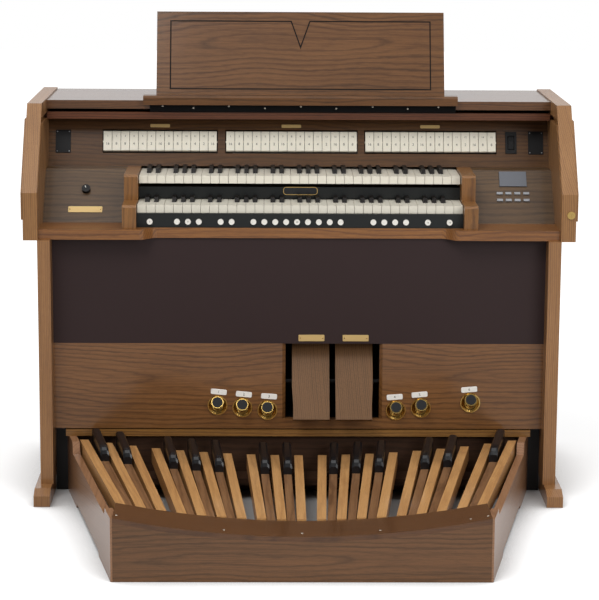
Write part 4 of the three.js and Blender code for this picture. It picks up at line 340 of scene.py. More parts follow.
# %% [markdown]
# ## A recipe for paint, plastic and metal
# Everything that isn't wood has one colour, and what tells paint from plastic is the skin: how large
# its grain is, how deep, and how sharply it mirrors the lamps. One recipe takes these as numbers. A
# second, slow noise lets tone and sheen drift a little over a hand's width, as they do on any sprayed,
# moulded or polished face.

# %% A recipe for paint, plastic and metal
DRIFT_MM = 90
ROUGH_DRIFT = 0.03
COAT_ROUGH = 0.1


def smooth(name, colour, rough, grain_mm, depth_mm, coat=0.0, metal=0.0, shade=0.06, gloss=0.5):
    """One colour that drifts by the share shade, on a skin with a grain of that size and depth."""
    made, tree, shader = material(name)
    where = add(tree, "TexCoord", out="Object")
    slow = {"Vector": stretched(tree, where, DRIFT_MM, DRIFT_MM), "Detail": 3.0, **PATTERN}
    drift = add(tree, "TexNoise", slow)
    base = linear(colour)[:3]
    low, high = ([c * share for c in base] + [1.0] for share in (1 - shade, 1 + shade))
    tint = {FACTOR: drift, FIRST: low, SECOND: high}
    polish = {"Value": drift, "To Min": rough - ROUGH_DRIFT, "To Max": rough + ROUGH_DRIFT}
    fine = {"Vector": stretched(tree, where, grain_mm, grain_mm), "Detail": 2.0, **PATTERN}
    skin = {"Height": add(tree, "TexNoise", fine), "Distance": depth_mm * MM}
    surface = {
        "Base Color": add(tree, "Mix", tint, MIXED, data_type="RGBA"),
        "Roughness": add(tree, "MapRange", polish),
        "Normal": add(tree, "Bump", skin),
        "Coat Weight": coat,
        "Coat Roughness": COAT_ROUGH,
        "Metallic": metal,
        "Specular IOR Level": gloss,
    }
    wire(tree, shader, surface)
    print(name)
    return made


print("tone and sheen drift over about", DRIFT_MM, "mm")

# %% [markdown]
# ## Painted and laminated boards
# Sprayed paint dries with a fine orange peel about a millimetre across, which blurs reflections
# without dulling them. Laminate is pressed against a textured plate and has a finer, drier skin.

# %% Painted and laminated boards
# orange peel behind the pedalboard: a black that stays soft where light grazes it
BLACK = smooth("board, sprayed black satin", "1b1919", 0.5, 1.4, 0.02, gloss=0.3)
# rubbed between coats: an even satin black, a quiet ground for the white pistons
SLIP = smooth("key slip, black satin lacquer", "1c1e1e", 0.45, 1.2, 0.015, gloss=0.3)
# matt black without sheen: real black on the ledge strip and the figures; inside the shoe opening both paint
# and painted shade that makes it look deep; in the screw recesses painted shade only
MATT_BLACK_AND_SHADE = smooth("matt black paint and painted shade", "0a090a", 0.8, 1.6, 0.03, gloss=0.15)
# pressed laminate: an even dark wine brown without any grain of wood
KNEE = smooth("knee panel, dark aubergine laminate", "2f2020", 0.6, 0.8, 0.03, gloss=0.3)
# pressed wood fibre, black and unpainted: a dusty surface for the side that nobody sees
BACKING = smooth("back panel, black hardboard", "211c1a", 0.7, 2.5, 0.05)
# filler wiped into a groove and sanded level: a dead black line in the glossy wood
GROOVE = smooth("inlay groove, black filler", "120d0a", 0.7, 0.7, 0.02, gloss=0.15)
# dipped in lacquer that levels as it dries: the only black underfoot that mirrors the lamps
CAP = smooth("sharp pedal cap, black lacquer", "0e0f13", 0.32, 4.0, 0.006, coat=0.1, gloss=0.45)

# %% [markdown]
# ## Plastics, rubber and paper
# Keys and tabs are moulded against polished steel, so they come out almost without a grain, and
# their tone hardly drifts. Housings are moulded against a sandblasted face and look dry. Each grain
# is drawn half a millimetre to three wide, coarser than a mould leaves it, so that it shows.

# %% Plastics, rubber and paper
# polished by fingers: long soft highlights down every key
IVORY = smooth("natural key, moulded ivory plastic", "e6e0d0", 0.3, 3.0, 0.004, coat=0.2, shade=0.02)
# the same cream without the polish: tabs look flatter than the keys below them
TABS = smooth("stop tab, moulded cream plastic", "e2dccb", 0.35, 3.0, 0.004, coat=0.1, shade=0.02)
# brown black and satin, so that the sharps keep their edges against the ivory
EBONY = smooth("sharp key, moulded brown-black plastic", "15110f", 0.45, 2.0, 0.008, gloss=0.2)
# a dry, finely grained black: switches and covers look like moulded parts, not painted wood
PLASTIC = smooth("fitting, moulded black plastic", "0f0f10", 0.5, 0.6, 0.02, gloss=0.25)
# matt and slightly blue: a pad that a shoe grips, dull inside its bright ring
RUBBER = smooth("stud pad, dark rubber", "141518", 0.6, 0.5, 0.03, gloss=0.3)
# mid grey keys around the display, with a satin skin that gives each its own small highlight
BUTTON = smooth("menu button, moulded grey plastic", "94969a", 0.45, 0.8, 0.01, gloss=0.35)
# a film over a dark display: grey, smooth, and a little brighter than the wood around it
SCREEN = smooth("display, grey window film", "5c5f66", 0.3, 2.0, 0.002, gloss=0.4)
# two-ply sheet, white on top: the brightest spots of the kick panel
LABEL = smooth("label, engraved white plastic", "f0eee8", 0.35, 1.5, 0.004)
# glossy white buttons that show one crisp point of light each
PISTON = smooth("thumb piston, moulded white plastic", "efece4", 0.25, 3.0, 0.004, coat=0.3)
# pressed paper pulp: a felt-like black that swallows the light
CONE = smooth("loudspeaker cone, pressed black paper", "141414", 0.85, 0.9, 0.06)

# %% [markdown]
# ## Metals
# A metal has no colour of its own below the surface: its hex value tints the reflection itself. So
# the metals differ mainly in that tint and in how rough the plating or the polish left them, with a
# grain drawn about a millimetre wide, coarser than it is, so that it shows. Foil and paint that only
# look like metal are given part of its character.

# %% Metals
# bluish grey with small soft flakes of light, on hardware that is meant to be strong, not seen
ZINC = smooth("steel, zinc plated", "a9acb0", 0.34, 0.9, 0.006, metal=1.0)
# near black, without metal and with hardly any shine: painted shade, so that the axle sinks into the dark of
# the shoe opening
AXLE_PAINTED_SHADE = smooth("steel axle, painted shade", "0b0b0c", 0.5, 0.9, 0.006, gloss=0.15)
# turned, polished and lacquered against tarnish: warm mirrors that ring every stud
BRASS = smooth("brass, turned and lacquered", "bd9e5c", 0.22, 1.1, 0.004, coat=0.3, metal=1.0)
# laminate with a brushed foil: brass coloured, but as flat as paper from every side
PLATE = smooth("label laminate, brushed brass colour", "ccae74", 0.5, 0.7, 0.01, metal=0.15, gloss=0.3)
# warm white points that catch the key light along a dark strip
NICKEL = smooth("screw, nickel plated", "d6cdbf", 0.35, 0.8, 0.004, metal=0.6)
# powdered bronze in varnish: a gold line with a grainy, broken shine
GOLD = smooth("nameplate rim, gilt paint", "c9a86a", 0.4, 0.8, 0.004, metal=0.5)

# %% [markdown]
# ## Dress every solid
# Each solid takes one finish, and the table reads like a cutting list: the finish, then the pieces
# made of it. Whatever stays undressed is printed, so that no piece is forgotten.

# %% Dress every solid
FINISH = {
    BOARD: "top_board lower_key_frame upper_key_frame pedal_heel_cap",
    LEDGE: "music_ledge",
    COVER: "pedal_toe_board",
    TABLE: "key_table",
    RAIL: "roll_lid",
    KICK: "kick_panel",
    UPRIGHT: "left_side_panel right_side_panel left_foot right_foot",
    CHEEK: "left_cheek right_cheek",
    BLOCK: "left_key_block right_key_block",
    STOPBOARD: "stop_panel",
    SLOPE_WITH_PAINTED_SHEEN: "left_control_panel right_control_panel",
    DESK: "music_desk",
    HEEL: "pedal_heel_board",
    PEDAL_SIDE_PAINTED_SHEEN: "left_pedal_side right_pedal_side",
    SHOE: "left_shoe right_shoe",
    STICK: "pedal_naturals",
    DARKSTICK: "pedal_sharps",
    KNEE: "knee_panel",
    BLACK: "base_panel",
    BACKING: "back_panel",
    MATT_BLACK_AND_SHADE: "shoe_box ledge_strip",
    SLIP: "lower_key_slip upper_key_slip",
    IVORY: "lower_naturals upper_naturals",
    TABS: "left_stop_tabs middle_stop_tabs right_stop_tabs",
    EBONY: "lower_sharps upper_sharps",
    PISTON: "thumb_pistons",
    BUTTON: "menu_buttons",
    SCREEN: "display_screen",
    PLASTIC: "power_switch switch_plate rocker_switch mains_inlet",
    CONE: "left_speaker right_speaker",
    BRASS: "left_stud_collars right_stud_collars left_toe_studs right_toe_studs lid_lock",
    AXLE_PAINTED_SHADE: "shoe_axle",
    ZINC: "desk_hinge desk_prop sound_module",
}
for finish, names in FINISH.items():
    for name in names.split():
        NODES[name].data.materials.clear()
        NODES[name].data.materials.append(finish)
dressed = {name for names in FINISH.values() for name in names.split()}
print("undressed:", sorted(set(NODES) - dressed))

# %% [markdown]
# ## Two finishes on one piece
# A sharp pedal is a dark stick with a glossy black cap, and the toe board below its cover is darker:
# painted shade, for the shadow of the cover. Such a piece could be cut in two, but it moves as one,
# so a second finish is given to some of its faces instead: a test looks at where a face lies and
# says which finish it gets.

# %% Two finishes on one piece


def second_finish(name, finish, wanted):
    """Gives a second finish to the faces whose centre and normal pass the test."""
    mesh = NODES[name].data
    mesh.materials.append(finish)
    found = [face for face in mesh.polygons if wanted(face.center, face.normal)]
    for face in found:
        face.material_index = len(mesh.materials) - 1
    return len(found)


# the tops of the sticks lie on a curve that widens with the fan and rises toward its ends
CAP_NOSE, STICK_TOP = -85.5 * MM, 100.5 * MM
HEEL_LIFT, TOE_LIFT = 31 * MM, 41 * MM
HEEL_HALF, TOE_HALF = 425.7 * MM, 562.2 * MM


def on_cap(centre, normal):
    """Faces of the caps: past the nose, and above the curve of the stick tops."""
    along = (centre.y - FAN_HEEL) / (FAN_TOE - FAN_HEEL)
    lift = HEEL_LIFT + (TOE_LIFT - HEEL_LIFT) * along
    half = HEEL_HALF + (TOE_HALF - HEEL_HALF) * along
    return centre.y > CAP_NOSE and centre.z > STICK_TOP + lift * (centre.x / half) ** 2


COVER_UNDERSIDE = 157 * MM


def under_cover(centre, normal):
    """The toe board below its cover, darkened as painted shade."""
    return centre.z < COVER_UNDERSIDE


print("cap faces:", second_finish("pedal_sharps", CAP, on_cap))
# the toe board below its cover gets a darker finish as painted shade
print("toe board faces:", second_finish("pedal_toe_board", TOE_PAINTED_SHADE, under_cover))

# %% [markdown]
# ## The groove in the desk
# A line is routed into the face of the music desk and filled with black. The groove is in the solid
# already: its floor is found as the faces that look the same way as the desk from just below it.

# %% The groove in the desk
FACES_PLAYER, SAME_WAY = -0.9, 0.99
SHALLOWEST, DEEPEST = 0.05 * MM, 1.1 * MM
desk_faces = [face for face in NODES["music_desk"].data.polygons if face.normal.y < FACES_PLAYER]
DESK_OUT = max(desk_faces, key=lambda face: face.area).normal.copy()
DESK_FACE = max(face.center.dot(DESK_OUT) for face in desk_faces)


def in_groove(centre, normal):
    """The floor of the groove."""
    below = DESK_FACE - centre.dot(DESK_OUT)
    return normal.dot(DESK_OUT) > SAME_WAY and SHALLOWEST < below < DEEPEST


print("groove faces:", second_finish("music_desk", GROOVE, in_groove))

# %% [markdown]
# ## Places on the solids
# A fitting is drawn flat around the origin and then set on the surface that carries it: X along the
# surface, Y up it and Z straight out. A frame, which is a four by four matrix, holds such a place.
# It is worked out from the solid itself, so that a label lies on its board and not near it.

# %% Places on the solids
CENTRE_SHIFT = -24.5 * MM  # the solids stand centred over their footprint
FRONT = Vector((0, -1, 0))
ACROSS = Vector((1, 0, 0))
LOOKS_FORWARD = -0.2  # the Y of a normal, below which a face looks at the player


def on(x, y, z):
    """A point given in the mm of the drawing."""
    return Vector((x * MM, y * MM + CENTRE_SHIFT, z * MM))


def shifted(x, y, z=0.0):
    """A move within a frame, in mm."""
    return Matrix.Translation((x * MM, y * MM, z * MM))


def facing(origin, out, tilt=0.0):
    """A frame on a surface: Z along out, X sideways, turned in the surface by tilt degrees."""
    out = Vector(out).normalized()
    across = (ACROSS - out * ACROSS.dot(out)).normalized()
    made = Matrix((across, out.cross(across), out)).transposed().to_4x4()
    return Matrix.Translation(origin) @ made @ Matrix.Rotation(math.radians(tilt), 4, "Z")


def front_plane(name):
    """The big flat face of a piece that looks at the player: how to set things on it."""
    groups = {}
    for face in NODES[name].data.polygons:
        if face.normal.y < LOOKS_FORWARD:
            key = tuple(round(v, 2) for v in face.normal)
            groups.setdefault(key, []).append(face)
    faces = max(groups.values(), key=lambda found: sum(face.area for face in found))
    out = faces[0].normal.copy()
    up = out.cross(ACROSS)
    vertices = NODES[name].data.vertices
    points = [vertices[i].co for face in faces for i in face.vertices]
    base = min(point.dot(up) for point in points)
    depth = points[0].dot(out)

    def spot(x, rise):
        """The frame at x across and rise up from the lower edge, both in mm."""
        return facing(ACROSS * (x * MM) + up * (base + rise * MM) + out * depth, out)

    return spot


stop_spot = front_plane("stop_panel")
left_spot = front_plane("left_control_panel")
print("the stop panel leans back", round(90 - math.degrees(stop_spot(0, 0).to_euler().x)), "degrees")

# %% [markdown]
# ## A plate with eased edges
# Labels, covers and nameplates are all cut from sheet with round corners. A cube with a bevel could
# make one, but corners and edge would then share one radius. Here a plate is a stack of outlines,
# skinned like a drum, with the last one drawn in a little: an eased edge catches the light where a
# sharp one would vanish.

# %% A plate with eased edges
import bmesh

SMALLEST_RADIUS = 0.05
PLATE_STEPS = 4


def rounded(width, height, corner, inset, z, steps):
    """The outline of a plate with round corners, drawn in by inset, in mm."""
    points = []
    radius = max(corner - inset, SMALLEST_RADIUS)
    for turn, (side_x, side_y) in enumerate(((1, 1), (-1, 1), (-1, -1), (1, -1))):
        for step in range(steps + 1):
            angle = math.radians(90 * (turn + step / steps))
            x = side_x * (width / 2 - corner) + radius * math.cos(angle)
            y = side_y * (height / 2 - corner) + radius * math.sin(angle)
            points.append((x * MM, y * MM, z * MM))
    return points


def rings(mesh, loops, closed=True):
    """Skins a stack of point loops, all of the same length."""
    grown = [[mesh.verts.new(point) for point in loop] for loop in loops]
    for lower, upper in zip(grown, grown[1:]):
        for i, corner in enumerate(lower):
            after = (i + 1) % len(lower)
            mesh.faces.new((corner, lower[after], upper[after], upper[i]))
    if closed:
        mesh.faces.new(list(reversed(grown[0])))
        mesh.faces.new(grown[-1])


def plate(width, height, thick, corner, ease=0.4):
    """A plate with round corners and an eased front edge, in mm."""
    made = bmesh.new()
    levels = ((0, 0), (0, thick - ease), (ease, thick))
    rings(made, [rounded(width, height, corner, inset, z, PLATE_STEPS) for inset, z in levels])
    return made


print("a plate's outline has", len(rounded(10, 10, 2, 0, 0, PLATE_STEPS)), "points")

# %% [markdown]
# ## Figures and fittings
# Numbers are Blender text turned to mesh. Real ones are engraved or printed; these lie a hair proud
# of the surface, because a cut that thin would not show, and a painted texture would blur close up.
# Small parts that share a finish and a body then become one piece, which rides on that body.

# %% Figures and fittings
LINE_HEIGHT = 1.4  # of a text, for each mm of its figures
FIGURE_LIFT, FIGURE_SMOOTHNESS = 0.05, 3


def figures(text, size):
    """Plain figures, size mm tall, a hair proud of the surface."""
    curve = bpy.data.curves.new("figures", "FONT")
    curve.body = text
    curve.size = size * LINE_HEIGHT * MM
    curve.align_x = "CENTER"
    curve.align_y = "CENTER"
    curve.extrude = FIGURE_LIFT * MM
    curve.resolution_u = FIGURE_SMOOTHNESS
    holder = bpy.data.objects.new("figures", curve)
    mesh = bpy.data.meshes.new_from_object(holder)
    made = bmesh.new()
    made.from_mesh(mesh)
    bpy.data.objects.remove(holder)
    bpy.data.meshes.remove(mesh)
    return made


def fitting(name, body, finish, parts):
    """One piece from (shape, frame) pairs, riding on a body."""
    whole = bmesh.new()
    for shape, where in parts:
        shape.transform(where)
        mesh = bpy.data.meshes.new("part")
        shape.to_mesh(mesh)
        shape.free()
        whole.from_mesh(mesh)
        bpy.data.meshes.remove(mesh)
    mesh = bpy.data.meshes.new(name)
    whole.to_mesh(mesh)
    whole.free()
    mesh.materials.append(finish)
    made = bpy.data.objects.new(name, mesh)
    bpy.context.scene.collection.objects.link(made)
    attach(made, body)
    print(name, len(mesh.polygons), "faces")


print("figures stand", FIGURE_LIFT, "mm proud of what carries them")

# %% [markdown]
# ## Engraved labels of the toe studs
# Each toe stud has a white label above it, set along the arc in which the studs lie, with a number
# cut through to the black ply below. Their places are read off the photograph in millimetres, and
# each label turns with the arc.

# %% Engraved labels of the toe studs
KICK_FACE = 125
# x, height and tilt in degrees of each label, along the arc of the studs
LABEL_SPOTS = [
    (-209.9, 276.8, -5),
    (-143.9, 270.5, -5),
    (-77.7, 265.0, -4),
    (252.9, 263.8, 4),
    (318.3, 270.6, 5),
    (448.9, 284.5, 5),
]
STUD_LABEL = {"width": 42, "height": 14.5, "thick": 1.6, "corner": 3.5}
LABEL_FIGURE = 7
labels, numbers = [], []
for i, (x, z, tilt) in enumerate(LABEL_SPOTS):
    where = facing(on(x, KICK_FACE, z), FRONT, tilt)
    labels.append((plate(**STUD_LABEL), where))
    numbers.append((figures(str(i + 1), LABEL_FIGURE), where @ shifted(0, 0, STUD_LABEL["thick"])))
fitting("stud_labels", "console", LABEL, labels)
fitting("stud_label_figures", "console", MATT_BLACK_AND_SHADE, numbers)

# %% [markdown]
# ## Brass-coloured plates
# Above the swell shoes, over the three rows of tabs and left of the keys sit small plates with the
# look of brushed brass. They are bare. Their places are given on the board that carries each.

# %% Brass-coloured plates
PLATE_THICK, PLATE_CORNER = 1.2, 2.5
SHOE_PLATE, TAB_PLATE, SIDE_PLATE = (68, 17), (53, 9), (90, 18.5)
SHOE_PLATE_X, SHOE_PLATE_Z = (32.8, 148.5), 422
TAB_PLATE_X, TAB_PLATE_RISE = (-373.5, -19.7, 355), 111
SIDE_PLATE_X, SIDE_PLATE_RISE = -563, 40
brass_plates = [(SHOE_PLATE, facing(on(x, KICK_FACE, SHOE_PLATE_Z), FRONT)) for x in SHOE_PLATE_X]
brass_plates += [(TAB_PLATE, stop_spot(x, TAB_PLATE_RISE)) for x in TAB_PLATE_X]
brass_plates += [(SIDE_PLATE, left_spot(SIDE_PLATE_X, SIDE_PLATE_RISE))]
sheets = [(plate(*size, PLATE_THICK, PLATE_CORNER), where) for size, where in brass_plates]
fitting("brass_plates", "console", PLATE, sheets)

# %% [markdown]
# ## Screws
# The larger plates are held by a screw at each end. A screw head is a profile spun about its axis,
# as on a lathe, and its recess is painted shade: a dark cross laid on top stands for the shadow in
# the hollow, because at this size a real hollow would cost many faces and look the same.

# %% Screws
ROUND_HEAD = [(0.1, 0), (3.0, 0), (3.0, 0.3), (2.7, 0.8), (1.9, 1.25), (0.9, 1.45), (0.1, 1.5)]
HEAD_SIDES = 16
RECESS_ARM, RECESS_WIDTH, RECESS_DEPTH, RECESS_LIFT = 3.0, 0.7, 0.62, 0.02


def turned(profile):
    """A lathe shape from (radius, height) steps in mm."""
    made = bmesh.new()
    angles = [2 * math.pi * i / HEAD_SIDES for i in range(HEAD_SIDES)]
    loops = []
    for radius, height in profile:
        loops.append([(radius * math.cos(a) * MM, radius * math.sin(a) * MM, height * MM) for a in angles])
    rings(made, loops)
    return made


def cross(arm, width, low, high):
    """The shade in the cross recess of a screw head, painted as a dark star, in mm."""
    made = bmesh.new()
    w, a = width / 2, arm / 2
    quarter = [(w, a), (-w, a), (-w, w)]
    star = []
    for _ in range(4):
        star += quarter
        quarter = [(-y, x) for x, y in quarter]
    rings(made, [[(x * MM, y * MM, z * MM) for x, y in star] for z in (low, high)])
    return made


def screws(name, body, finish, frames, size=1.0, head=ROUND_HEAD):
    """Screws, with painted shade in their cross recesses."""
    heads = [(turned([(r * size, z * size) for r, z in head]), where) for where in frames]
    fitting(name, body, finish, heads)
    top = head[-1][1] + RECESS_LIFT
    arm, width, low, high = (v * size for v in (RECESS_ARM, RECESS_WIDTH, top - RECESS_DEPTH, top))
    # the recesses are painted shade: a dark cross in the matt black
    fitting(name + "_recess_shade", body, MATT_BLACK_AND_SHADE, [(cross(arm, width, low, high), where) for where in frames])


SCREWED_HEIGHT, SCREW_INSET, SCREW_SEAT = 10, 4.5, 1.1
plate_ends = [
    where @ shifted(side * (width / 2 - SCREW_INSET), 0, SCREW_SEAT)
    for (width, height), where in brass_plates
    if height > SCREWED_HEIGHT
    for side in (-1, 1)
]
screws("brass_plate_screws", "console", BRASS, plate_ends, 0.6)

# %% [markdown]
# ## Nameplate
# Between the two keyboards stands a small bare plate in black with a gilt rim. The rim is a flat
# frame: four outlines, outer and inner, skinned in a ring whose last outline is its first.

# %% Nameplate
NAMEPLATE_SPOT = facing(on(3.4, 247, 793), FRONT)
NAMEPLATE = {"width": 88, "height": 18, "thick": 1.4, "corner": 6.5}
RIM = {"width": 91, "height": 21, "corner": 8, "bar": 1.6, "thick": 2.0}
RIM_STEPS = 6
SAME_POINT = 0.001 * MM
fitting("nameplate", "console", CAP, [(plate(**NAMEPLATE), NAMEPLATE_SPOT)])


def rim(width, height, corner, bar, thick):
    """A flat frame of that bar width around a rounded plate, in mm."""
    made = bmesh.new()
    levels = ((0, 0), (0, thick), (bar, thick), (bar, 0))
    loops = [rounded(width, height, corner, inset, z, RIM_STEPS) for inset, z in levels]
    rings(made, loops + loops[:1], closed=False)
    bmesh.ops.remove_doubles(made, verts=made.verts, dist=SAME_POINT)
    return made


fitting("nameplate_rim", "console", GOLD, [(rim(**RIM), NAMEPLATE_SPOT)])

# %% [markdown]
# ## Blank covers
# At both ends of the stop panel a spare opening is closed by a black cover with a small screw in
# each corner. The corners of a cover are written once, and both covers share them.

# %% Blank covers
COVER_SPOTS = [(-633.4, 67), (639.9, 67)]
COVER_PLATE = {"width": 41, "height": 64, "thick": 1.5, "corner": 1.5}
COVER_CORNERS = [(x, y) for x in (-16, 16) for y in (-27, 27)]
COVER_SEAT = 1.4
covers = [stop_spot(x, rise) for x, rise in COVER_SPOTS]
fitting("blank_covers", "console", PLASTIC, [(plate(**COVER_PLATE), where) for where in covers])
cover_screws = [where @ shifted(x, y, COVER_SEAT) for where in covers for x, y in COVER_CORNERS]
screws("cover_screws", "console", ZINC, cover_screws, 0.55)

# %% [markdown]
# ## Screws in rows
# Two rows of bright screws hold the dark strip below the music desk. Six more hold the cap of the
# heel board and lean with its hollow curve: a parabola gives the height of the cap, and its slope
# gives the direction in which each screw looks.

# %% Screws in rows
STRIP_FACE = 354
STRIP_ROWS = {1005: (-363.7, -187.2, 4.7, 196.9, 372.6), 1000: (-281.6, -91.1, 99.5, 290.6)}
strip = [facing(on(x, STRIP_FACE, z), FRONT) for z, row in STRIP_ROWS.items() for x in row]
screws("ledge_strip_screws", "console", NICKEL, strip, 0.8)

HEEL_LEVEL, HEEL_RISE, HEEL_EDGE, HEEL_SCREW_Y, SUNK = 109, 44, 440, -600, 0.4
HEEL_SCREW_X = (-432, -182.3, -0.5, 181.5, 391.9, 432)
cap_screws = []
for x in HEEL_SCREW_X:
    level = HEEL_LEVEL + HEEL_RISE * (x / HEEL_EDGE) ** 2
    lean = 2 * HEEL_RISE * x / HEEL_EDGE**2
    cap_screws.append(facing(on(x, HEEL_SCREW_Y, level - SUNK), (-lean, 0, 1)))
screws("heel_cap_screws", "pedalboard", NICKEL, cap_screws)

# %% [markdown]
# ## Screws of the back panel
# The back comes off for service, so it is screwed on all round: six screws along the top and the
# bottom and one halfway up each side. They are countersunk, and their heads lie level with the
# board: a round head would be the deepest thing on the organ and scratch the wall behind it.

# %% Screws of the back panel
FLAT_HEAD = [(0.1, -0.4), (3.4, -0.4), (3.4, 0.0), (3.2, 0.03), (0.1, 0.03)]
EDGE_DISTANCE = 18 * MM
SPACES = 5
low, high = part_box("back_panel")
step = (high[0] - low[0] - 2 * EDGE_DISTANCE) / SPACES
columns = [low[0] + EDGE_DISTANCE + i * step for i in range(SPACES + 1)]
rows = (low[2] + EDGE_DISTANCE, high[2] - EDGE_DISTANCE)
spots = [(x, z) for x in columns for z in rows]
spots += [(x, (low[2] + high[2]) / 2) for x in (columns[0], columns[-1])]
back_screws = [facing((x, high[1], z), -FRONT) for x, z in spots]
screws("back_panel_screws", "console", ZINC, back_screws, 0.9, FLAT_HEAD)

# %% [markdown]
# ## Inlay of the music desk
# The groove in the desk is filled with a narrow dark ribbon. It runs as a rectangle whose upper side
# dips to a point in the middle, with mitred corners, and stands a tenth of a millimetre proud. It is
# drawn a little wider than the groove, because a thinner line would break up at this distance.

# %% Inlay of the music desk
DESK_MIDDLE, INLAY_HALF, INLAY_LOW, INLAY_HIGH = 4, 347.5, 17, 204
NOTCH_HALF, NOTCH_DEPTH = 25, 72
RIBBON_WIDTH, RIBBON_PROUD, RIBBON_SUNK = 3.4, 0.1, 0.4
SHARPEST = 0.3  # keeps a mitre from running out to a spike
INLAY = [
    (-INLAY_HALF, INLAY_LOW),
    (INLAY_HALF, INLAY_LOW),
    (INLAY_HALF, INLAY_HIGH),
    (NOTCH_HALF, INLAY_HIGH),
    (0, INLAY_HIGH - NOTCH_DEPTH),
    (-NOTCH_HALF, INLAY_HIGH),
    (-INLAY_HALF, INLAY_HIGH),
]


def ribbon(points):
    """A flat closed ribbon along points in mm, with mitred corners."""
    loops = []
    for side, height in ((-1, -RIBBON_SUNK), (-1, RIBBON_PROUD), (1, RIBBON_PROUD), (1, -RIBBON_SUNK)):
        loop = []
        for before, here, after in zip(points[-1:] + points[:-1], points, points[1:] + points[:1]):
            first = (Vector(here) - Vector(before)).normalized()
            second = (Vector(after) - Vector(here)).normalized()
            edge = Vector((first.y + second.y, -first.x - second.x)).normalized()
            reach = side * RIBBON_WIDTH / 2 / max(SHARPEST, edge.dot(Vector((first.y, -first.x))))
            spot = Vector(here) + edge * reach
            loop.append((spot.x * MM, spot.y * MM, height * MM))
        loops.append(loop)
    made = bmesh.new()
    rings(made, loops + loops[:1], closed=False)
    bmesh.ops.remove_doubles(made, verts=made.verts, dist=SAME_POINT)
    bmesh.ops.recalc_face_normals(made, faces=made.faces)
    return made


desk_spot = front_plane("music_desk")
fitting("desk_inlay", "music_desk", GROOVE, [(ribbon(INLAY), desk_spot(DESK_MIDDLE, 0))])

# %% [markdown]
# ## Rubber pads of the toe studs
# A toe stud is a brass ring around a dark rubber pad. Every stud, tab and button of a row belongs to
# one piece, so first their places have to be found: faces that look outward are gathered from left
# to right, and a gap wider than a centimetre starts the next one. The faces inside a stud's pad then
# get the rubber.

# %% Rubber pads of the toe studs
LOOKS_OUT, NEXT_ONE, SAME_DEPTH = 0.995, 12 * MM, 0.01 * MM


def front_spots(name, out):
    """Where a piece looks along out: one place for each of its buttons or tabs, left to right."""
    mesh = NODES[name].data
    outward = [face for face in mesh.polygons if face.normal.dot(out) >= LOOKS_OUT]
    groups = []
    for face in sorted(outward, key=lambda face: face.center.x):
        if not groups or face.center.x - groups[-1][-1].center.x > NEXT_ONE:
            groups.append([])
        groups[-1].append(face)
    front = []
    for group in groups:
        depth = max(face.center.dot(out) for face in group)
        faces = [face for face in group if face.center.dot(out) > depth - SAME_DEPTH]
        points = [mesh.vertices[i].co for face in faces for i in face.vertices]
        low = Vector([min(point[i] for point in points) for i in range(3)])
        high = Vector([max(point[i] for point in points) for i in range(3)])
        front.append((low + high) / 2)
    return front


STUD_LEAN = math.radians(30)
STUD_OUT = Vector((0, -math.cos(STUD_LEAN), math.sin(STUD_LEAN)))
PAD_RADIUS, PAD_HEIGHT = 13.6 * MM, 1.7 * MM
for name in ("left_toe_studs", "right_toe_studs"):
    spots = front_spots(name, STUD_OUT)

    def on_pad(centre, normal):
        """The raised middle of a stud's face."""
        for spot in spots:
            away = centre - spot
            deep = away.dot(STUD_OUT)
            if deep > -PAD_HEIGHT and (away - STUD_OUT * deep).length < PAD_RADIUS:
                return True
        return False

    print(name, len(spots), "studs, pad faces:", second_finish(name, RUBBER, on_pad))

# %% [markdown]
# ## Figures on the stop tabs
# Stop tabs carry a running number and, below it, the length of their pipes in feet. They lean back,
# so the way a tab looks is measured on its largest face, and its figures are laid on that.

# %% Figures on the stop tabs
FEET = (16, 8, 8, 4, 4, 2)
ORDER_SIZE, ORDER_RISE, FEET_SIZE, FEET_RISE = 5, 13, 7, -8
for name in ("left_stop_tabs", "middle_stop_tabs", "right_stop_tabs"):
    out = max(NODES[name].data.polygons, key=lambda face: face.area * -face.normal.y).normal.copy()
    marks = []
    for i, spot in enumerate(front_spots(name, out)):
        feet = str(FEET[i % len(FEET)])
        marks.append((figures(str(i + 1), ORDER_SIZE), facing(spot, out) @ shifted(0, ORDER_RISE)))
        marks.append((figures(feet, FEET_SIZE), facing(spot, out) @ shifted(0, FEET_RISE)))
    fitting(name + "_figures", name, MATT_BLACK_AND_SHADE, marks)

# %% [markdown]
# ## Pointer of the power switch
# The round black switch left of the keys shows by a white line where it points. The line rides on
# the switch, so it turns with it.

# %% Pointer of the power switch
POINTER = {"width": 1.6, "height": 7, "thick": 0.3, "corner": 0.6, "ease": 0.1}
POINTER_TURN, POINTER_RISE = 20, 4.5
knob_out = left_spot(0, 0).to_3x3().col[2].normalized()
pointers = [
    (plate(**POINTER), facing(spot, knob_out, POINTER_TURN) @ shifted(0, POINTER_RISE))
    for spot in front_spots("power_switch", knob_out)
]
fitting("power_switch_mark", "power_switch", LABEL, pointers)

# %% [markdown]
# ## Figures on the pistons
# The white pistons below each keyboard are numbered from left to right. A player reads them from
# above, and they look straight forward, so the figures need no tilt.

# %% Figures on the pistons
PISTON_FIGURE = 4.5
piston_spots = front_spots("thumb_pistons", FRONT)
marks = [(figures(str(i + 1), PISTON_FIGURE), facing(spot, FRONT)) for i, spot in enumerate(piston_spots)]
fitting("piston_figures", "thumb_pistons", MATT_BLACK_AND_SHADE, marks)

# %% [markdown]
# ## Camera
# The photograph was taken from in front, a little above the music desk, with a long lens. Far away
# and long means that near and far edges keep almost the same scale. The lens is not shifted, so that
# other views of the scene stay upright and centred too.

